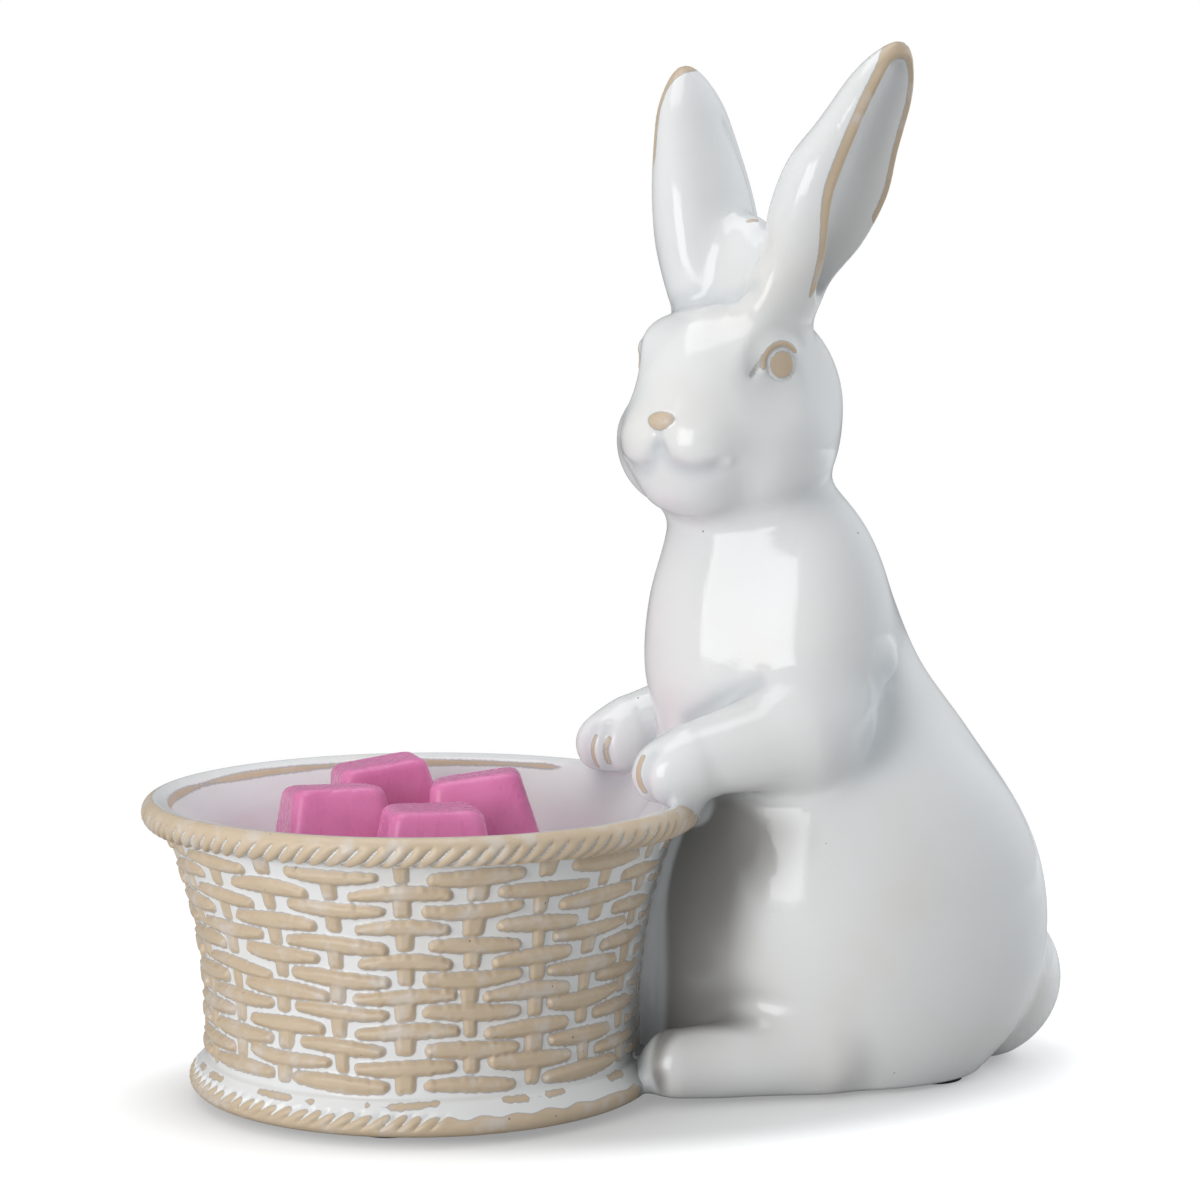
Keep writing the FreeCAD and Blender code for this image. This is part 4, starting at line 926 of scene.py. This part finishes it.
def pourCube(name, number):
    x, y, turn, pitch, roll = waxCube["places"][name]
    half = waxCube["base"] / 2
    lift = half * (math.sin(abs(math.radians(pitch))) + math.sin(abs(math.radians(roll))))
    seed = 1.0 + 1.7 * number

    def field(points):
        return waxField(points, seed)

    room = half + 1.0
    high = (room, room, waxCube["height"] + 1)
    points, quads = castQuads(field, (-room, -room, -1.0), high, waxCube["cell"])
    points = relax(field, settle(field, points, 2), quads, 1)
    quads = facingOut(field, points, quads)
    place = np.array([x, y, basket["dishZ"] + waxCube["gap"] + lift])
    piece = makeMesh("poured_" + name, points @ turnMatrix(turn, pitch, roll).T + place, quads)
    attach(piece, "wax_" + name.split("_")[0])
    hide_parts(name)
    return piece


cubePieces = [pourCube(name, number) for number, name in enumerate(waxCube["places"])]
print("wax poured:", [len(piece.data.polygons) for piece in cubePieces])


glaze = {
    # cool: the grey of glaze pooling and of painted shade in hollows and creases
    "white": (0.80, 0.805, 0.80), "poolAndShadeGrey": (0.60, 0.625, 0.64), "warm": (0.79, 0.775, 0.745),
    # deep: the colour of painted shade where the room's light fails
    "deep": (0.27, 0.26, 0.245),
    "bisque": (0.645, 0.525, 0.38), "bisqueDeep": (0.55, 0.43, 0.30), "haze": (0.66, 0.61, 0.565),
    # rim: grey of the line along bare clay's edges, partly the glaze thinning there and partly painted
    # shadow at the strands' edges
    "rim": (0.32, 0.29, 0.28), "speck": (0.09, 0.075, 0.06), "glossy": 0.085, "bare": 0.36,
    "specks": (0.0052, 0.0003, 0.16), "claySpecks": (0.0026, 0.0003, 0.14),  # metres apart, radius, share
    "waves": (0.011, 0.00035), "grain": (0.0012, 0.00008),  # size and depth in metres
}


class Finish:

    def __init__(self, name, kind=bpy.data.materials, shader="Principled BSDF"):
        self.material = kind.new(name)
        self.material.use_nodes = True
        self.tree = self.material.node_tree
        self.shader = self.tree.nodes[shader]
        self.place = self.node("TexCoord", {})["Object"]

    def join(self, source, target):
        if isinstance(source, (int, float)):
            target.default_value = source
        elif isinstance(source, tuple):
            target.default_value = source if len(source) == len(target.default_value) else (*source, 1)
        else:
            self.tree.links.new(source, target)

    def node(self, kind, inputs, **settings):  # outputs of a new node
        node = self.tree.nodes.new("ShaderNode" + kind)
        for name, value in settings.items():
            setattr(node, name, value)
        for name, value in inputs.items():
            self.join(value, node.inputs[name])
        return node.outputs

    def set(self, **values):
        for name, value in values.items():
            self.join(value, self.shader.inputs[name.replace("_", " ")])

    def math(self, kind, *values):
        return self.node("Math", dict(enumerate(values)), operation=kind)[0]

    def step(self, value, low, high, to=(0.0, 1.0)):
        ends = {"From Min": low, "From Max": high, "To Min": to[0], "To Max": to[1]}
        return self.node("MapRange", {"Value": value, **ends}, interpolation_type="SMOOTHSTEP")[0]

    def mix(self, share, a, b):
        return self.node("Mix", {0: share, 6: a, 7: b}, data_type="RGBA")[2]

    def share(self, name):
        return self.node("Attribute", {}, attribute_name=name)["Fac"]

    def stretched(self, scale):
        return self.node("Mapping", {"Vector": self.place, "Scale": scale})[0]

    def length(self, vector):
        return self.node("VectorMath", {0: vector}, operation="LENGTH")["Value"]

    def noise(self, size, detail=2.0, rough=0.5, at=None):  # size in metres
        inputs = {"Vector": at or self.place, "Scale": 1 / size, "Detail": detail, "Roughness": rough}
        return self.node("TexNoise", inputs)["Fac"]

    def specks(self, size, radius, share):
        cells = self.node("TexVoronoi", {"Vector": self.place, "Scale": 1 / size})
        split = self.node("SeparateColor", {0: cells["Color"]})
        reach = self.math("MULTIPLY", split[1], radius / size)
        near = self.math("LESS_THAN", cells["Distance"], reach)
        return self.math("MULTIPLY", self.math("LESS_THAN", split[0], share), near)

    def bump(self, height, distance, under=None, strength=1.0):
        inputs = {"Strength": strength, "Distance": distance, "Height": height}
        if under is not None:
            inputs["Normal"] = under
        return self.node("Bump", inputs)[0]


def glazedStoneware():
    f = Finish("glazed_stoneware_finish")
    edge = f.math("SUBTRACT", f.noise(0.0009, 3, 0.6), 0.5)
    bare = f.math("MULTIPLY_ADD", edge, 0.35, f.share("bare"))
    clay = f.step(bare, -0.02, 0.13)
    # a grey line along every edge of bare clay: partly the glaze thinning there, partly painted shadow at
    # the strands' edges
    edgeLineAndShadow = f.math("MULTIPLY", f.step(bare, -0.26, 0.0), f.step(bare, 0.28, 0.02))
    drift = f.noise(0.03, 2)
    white = f.mix(f.step(drift, 0.45, 0.8), glaze["white"], glaze["warm"])
    # grey of glaze pooling and painted shade in hollows and creases
    white = f.mix(f.math("MULTIPLY", f.share("pool"), 0.9), white, glaze["poolAndShadeGrey"])
    # painted shade: glaze darkens where the room's light fails beside and under the rabbit
    deep = f.step(f.share("shade"), 0.16, 0.75, (0.0, 0.9))
    white = f.mix(deep, white, glaze["deep"])
    white = f.mix(f.math("MULTIPLY", edgeLineAndShadow, 0.7), white, glaze["rim"])
    tan = f.mix(f.noise(0.004, 3), glaze["bisque"], glaze["bisqueDeep"])
    tan = f.mix(f.step(f.noise(0.007, 3, 0.6), 0.5, 0.68, (0.0, 0.65)), tan, glaze["haze"])
    # painted shade and highlight: the bare clay darkens towards its edges and stays lighter in the middle,
    # rounding the strands off
    tan = f.mix(f.step(bare, 0.6, 0.1, (0.0, 0.5)), tan, glaze["bisqueDeep"])
    # painted shade on the bare clay as well
    tan = f.mix(f.math("MULTIPLY", deep, 0.6), tan, glaze["deep"])
    colour = f.mix(clay, white, tan)
    specks = f.math("MAXIMUM", f.specks(*glaze["specks"]),
                    f.math("MULTIPLY", f.specks(*glaze["claySpecks"]), clay))
    colour = f.mix(f.math("MULTIPLY", specks, 0.65), colour, glaze["speck"])
    (waveSize, waveDepth), (grainSize, grainDepth) = glaze["waves"], glaze["grain"]
    grain = f.bump(f.noise(grainSize, 3, 0.6), grainDepth, None, 0.5)
    f.set(Base_Color=colour, Roughness=f.step(clay, 0, 1, (glaze["glossy"], glaze["bare"])),
          Normal=f.bump(f.noise(waveSize, 1.0), waveDepth, grain, 0.5), IOR=1.52)
    return f.material


def paintedBy(name, base, tint, size, roughness, bumpDepth, metal=0.0, stretch=(1, 1, 1)):
    f = Finish(name)
    grain = f.noise(size, 4, 0.6, f.stretched(stretch))
    f.set(Base_Color=f.mix(grain, base, tint), Metallic=metal,
          Roughness=f.step(grain, 0.2, 0.8, (roughness * 0.8, roughness * 1.25)),
          Normal=f.bump(grain, bumpDepth))
    return f.material


waxLook = {"pink": (0.76, 0.235, 0.465), "cloud": (0.68, 0.19, 0.40), "rough": (0.24, 0.36), "depth": 0.003}


def waxFinish():
    f = Finish("pink_wax")
    cloud = f.noise(0.012, 3)
    smear = f.noise(0.0022, 2, 0.5, f.stretched((1, 1, 0.35)))
    f.set(Base_Color=f.mix(f.step(cloud, 0.3, 0.7), waxLook["pink"], waxLook["cloud"]),
          Roughness=f.step(smear, 0.3, 0.7, waxLook["rough"]),
          Normal=f.bump(smear, 0.00005, f.bump(cloud, 0.0004, None, 0.4), 0.5),
          Subsurface_Weight=0.2, IOR=1.44)
    f.shader.inputs["Subsurface Radius"].default_value = (1.0, 0.45, 0.6)
    f.shader.inputs["Subsurface Scale"].default_value = waxLook["depth"]
    return f.material


for pieces, finish in (([rabbitPiece] + basketPieces, glazedStoneware()), (cubePieces, waxFinish())):
    for piece in pieces:
        piece.data.materials.append(finish)

innerFinishes = {  # nodes, two colours, grain in metres, roughness, depth of the grain, metal, stretch
    "black_rubber": ("basket_feet rabbit_feet cord_grommet",
                     (0.012, 0.012, 0.013), (0.022, 0.022, 0.022), 0.0015, 0.7, 0.00006),
    "fibre_board": ("base_plate",
                    (0.20, 0.125, 0.07), (0.29, 0.19, 0.11), 0.0018, 0.8, 0.0001, 0.0, (1, 3, 1)),
    "zinc_steel": ("base_screws pan_screws pan_nuts element_terminals fuse_clip block_screws heater_pan",
                   (0.55, 0.55, 0.53), (0.42, 0.43, 0.44), 0.002, 0.32, 0.00002, 1.0, (1, 1, 6)),
    "turned_brass": ("brass_inserts",
                     (0.66, 0.45, 0.16), (0.5, 0.33, 0.12), 0.002, 0.3, 0.00002, 1.0, (1, 1, 8)),
    "spun_aluminium": ("heater_plate thermal_fuse",
                       (0.62, 0.63, 0.64), (0.5, 0.51, 0.53), 0.0012, 0.34, 0.00002, 1.0, (1, 8, 1)),
    "element_foil": ("heating_element",
                     (0.42, 0.28, 0.14), (0.3, 0.2, 0.1), 0.002, 0.5, 0.00003, 0.4),
    "mica_flakes": ("mica_sheet",
                    (0.42, 0.34, 0.22), (0.55, 0.46, 0.32), 0.0025, 0.35, 0.00004, 0.0, (1, 1, 4)),
    "mineral_wool": ("insulating_pad",
                     (0.72, 0.70, 0.62), (0.6, 0.58, 0.5), 0.0008, 0.95, 0.0003, 0.0, (4, 1, 1)),
    "steatite": ("pan_spacers terminal_bushings",
                 (0.76, 0.72, 0.62), (0.68, 0.64, 0.55), 0.002, 0.5, 0.00003),
    "ivory_nylon": ("terminal_block", (0.70, 0.66, 0.55), (0.62, 0.58, 0.48), 0.003, 0.5, 0.00002),
    "brown_sleeve": ("live_lead fuse_lead", (0.09, 0.035, 0.015), (0.12, 0.05, 0.02), 0.001, 0.45, 0.00003),
    "blue_sleeve": ("neutral_lead", (0.02, 0.06, 0.25), (0.03, 0.09, 0.32), 0.001, 0.45, 0.00003),
}
for finishName, (names, *look) in innerFinishes.items():
    material = paintedBy(finishName, *look)
    for nodeName in names.split():
        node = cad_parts[nodeName]
        node.data.materials.clear()
        node.data.materials.append(material)
print("finishes set")


view = {
    "place": (-0.182, -0.6651, 0.173), "heading": 15.0, "dip": 5.64, "lens": 96.0, "sensor": 36.0,
}
studio = {
    "ambient": 0.32, "air": (0.93, 0.965, 1, 1),
    # the floor's glow is weakest round the object: a painted shade round its base
    "floorLift": (0.3, 0.66), "liftFrom": (0.048, 0.070), "floorFade": (0.17, 0.34),
    "lamps": {  # place, aim, size, watts, tint and whether the glaze mirrors it
        "left_window": ((-0.74, -0.62, 0.37), (0.02, 0, 0.09), (0.46, 0.66), 3.5, (1, 1, 1), True),
        "top_window": ((-0.15, 0.10, 0.95), (0, 0, 0.1), (0.8, 0.6), 3.0, (1, 1, 1), True),
        "right_wall": ((1.0, 0.25, 0.45), (0.05, 0, 0.09), (0.9, 0.9), 10.5, (0.93, 0.965, 1), False),
        "basket_wall": ((-0.40, -0.42, 0.10), (-0.05, 0, 0.04), (0.4, 0.25), 0.6, (1, 1, 1), False),
        "left_wall": ((-1.0, -0.35, 0.12), (-0.05, 0, 0.05), (0.5, 0.3), 1.9, (1, 1, 1), False),
    },
}


def hang(name, data, place, towards):  # puts the camera or a lamp in the room
    holder = bpy.data.objects.new(name, data)
    bpy.context.scene.collection.objects.link(holder)
    holder.location = place
    holder.rotation_euler = towards.to_track_quat("-Z", "Y").to_euler()
    return holder


def addCamera():
    camera = bpy.data.cameras.new("camera")
    camera.lens, camera.sensor_width = view["lens"], view["sensor"]
    heading, dip = math.radians(view["heading"]), math.radians(view["dip"])
    aim = Vector((math.sin(heading) * math.cos(dip), math.cos(heading) * math.cos(dip), -math.sin(dip)))
    bpy.context.scene.camera = hang("camera", camera, view["place"], aim)


def addLamp(name, place, aim, size, watts, tint, mirrored):
    lamp = bpy.data.lights.new(name, "AREA")
    lamp.shape = "RECTANGLE"
    lamp.size, lamp.size_y = size
    lamp.energy, lamp.color = watts, tint
    hang(name, lamp, place, Vector(aim) - Vector(place)).visible_glossy = mirrored


def addStage():  # the floor turns into the white surroundings away from the object; its weaker glow round the object paints shade round the base, beside the real shadow
    bpy.ops.mesh.primitive_plane_add(size=6, location=(0, 0, 0))
    floor = bpy.context.object
    floor.name = "floor"
    f = Finish("pale_floor")
    f.set(Base_Color=(0.5, 0.5, 0.5), Roughness=0.7, Specular_IOR_Level=0.2)
    seen = f.node("LightPath", {})["Is Camera Ray"]
    lift = f.step(f.length(f.stretched((0.6, 1, 1))), *studio["liftFrom"], studio["floorLift"])
    f.set(Emission_Color=f.mix(f.noise(0.6), (1, 1, 1), (0.99, 0.995, 1)),
          Emission_Strength=f.math("MULTIPLY", seen, lift))
    fade = f.math("MULTIPLY", f.step(f.length(f.place), *studio["floorFade"]), seen)
    bright = f.node("Emission", {"Strength": 1.0})[0]
    blend = f.node("MixShader", {0: fade, 1: f.shader.outputs[0], 2: bright})[0]
    f.join(blend, f.tree.nodes["Material Output"].inputs["Surface"])
    floor.data.materials.append(f.material)
    air = Finish("studio", bpy.data.worlds, "Background")
    bpy.context.scene.world = air.material
    seen = air.node("LightPath", {})["Is Camera Ray"]
    strength = air.node("MapRange", {"Value": seen, "To Min": studio["ambient"], "To Max": 1.0})[0]
    air.set(Color=air.mix(seen, studio["air"], (1, 1, 1)), Strength=strength)


addCamera()
addStage()
for name, lamp in studio["lamps"].items():
    addLamp(name, *lamp)
bpy.context.scene.view_settings.view_transform = "Standard"
print("studio lit")
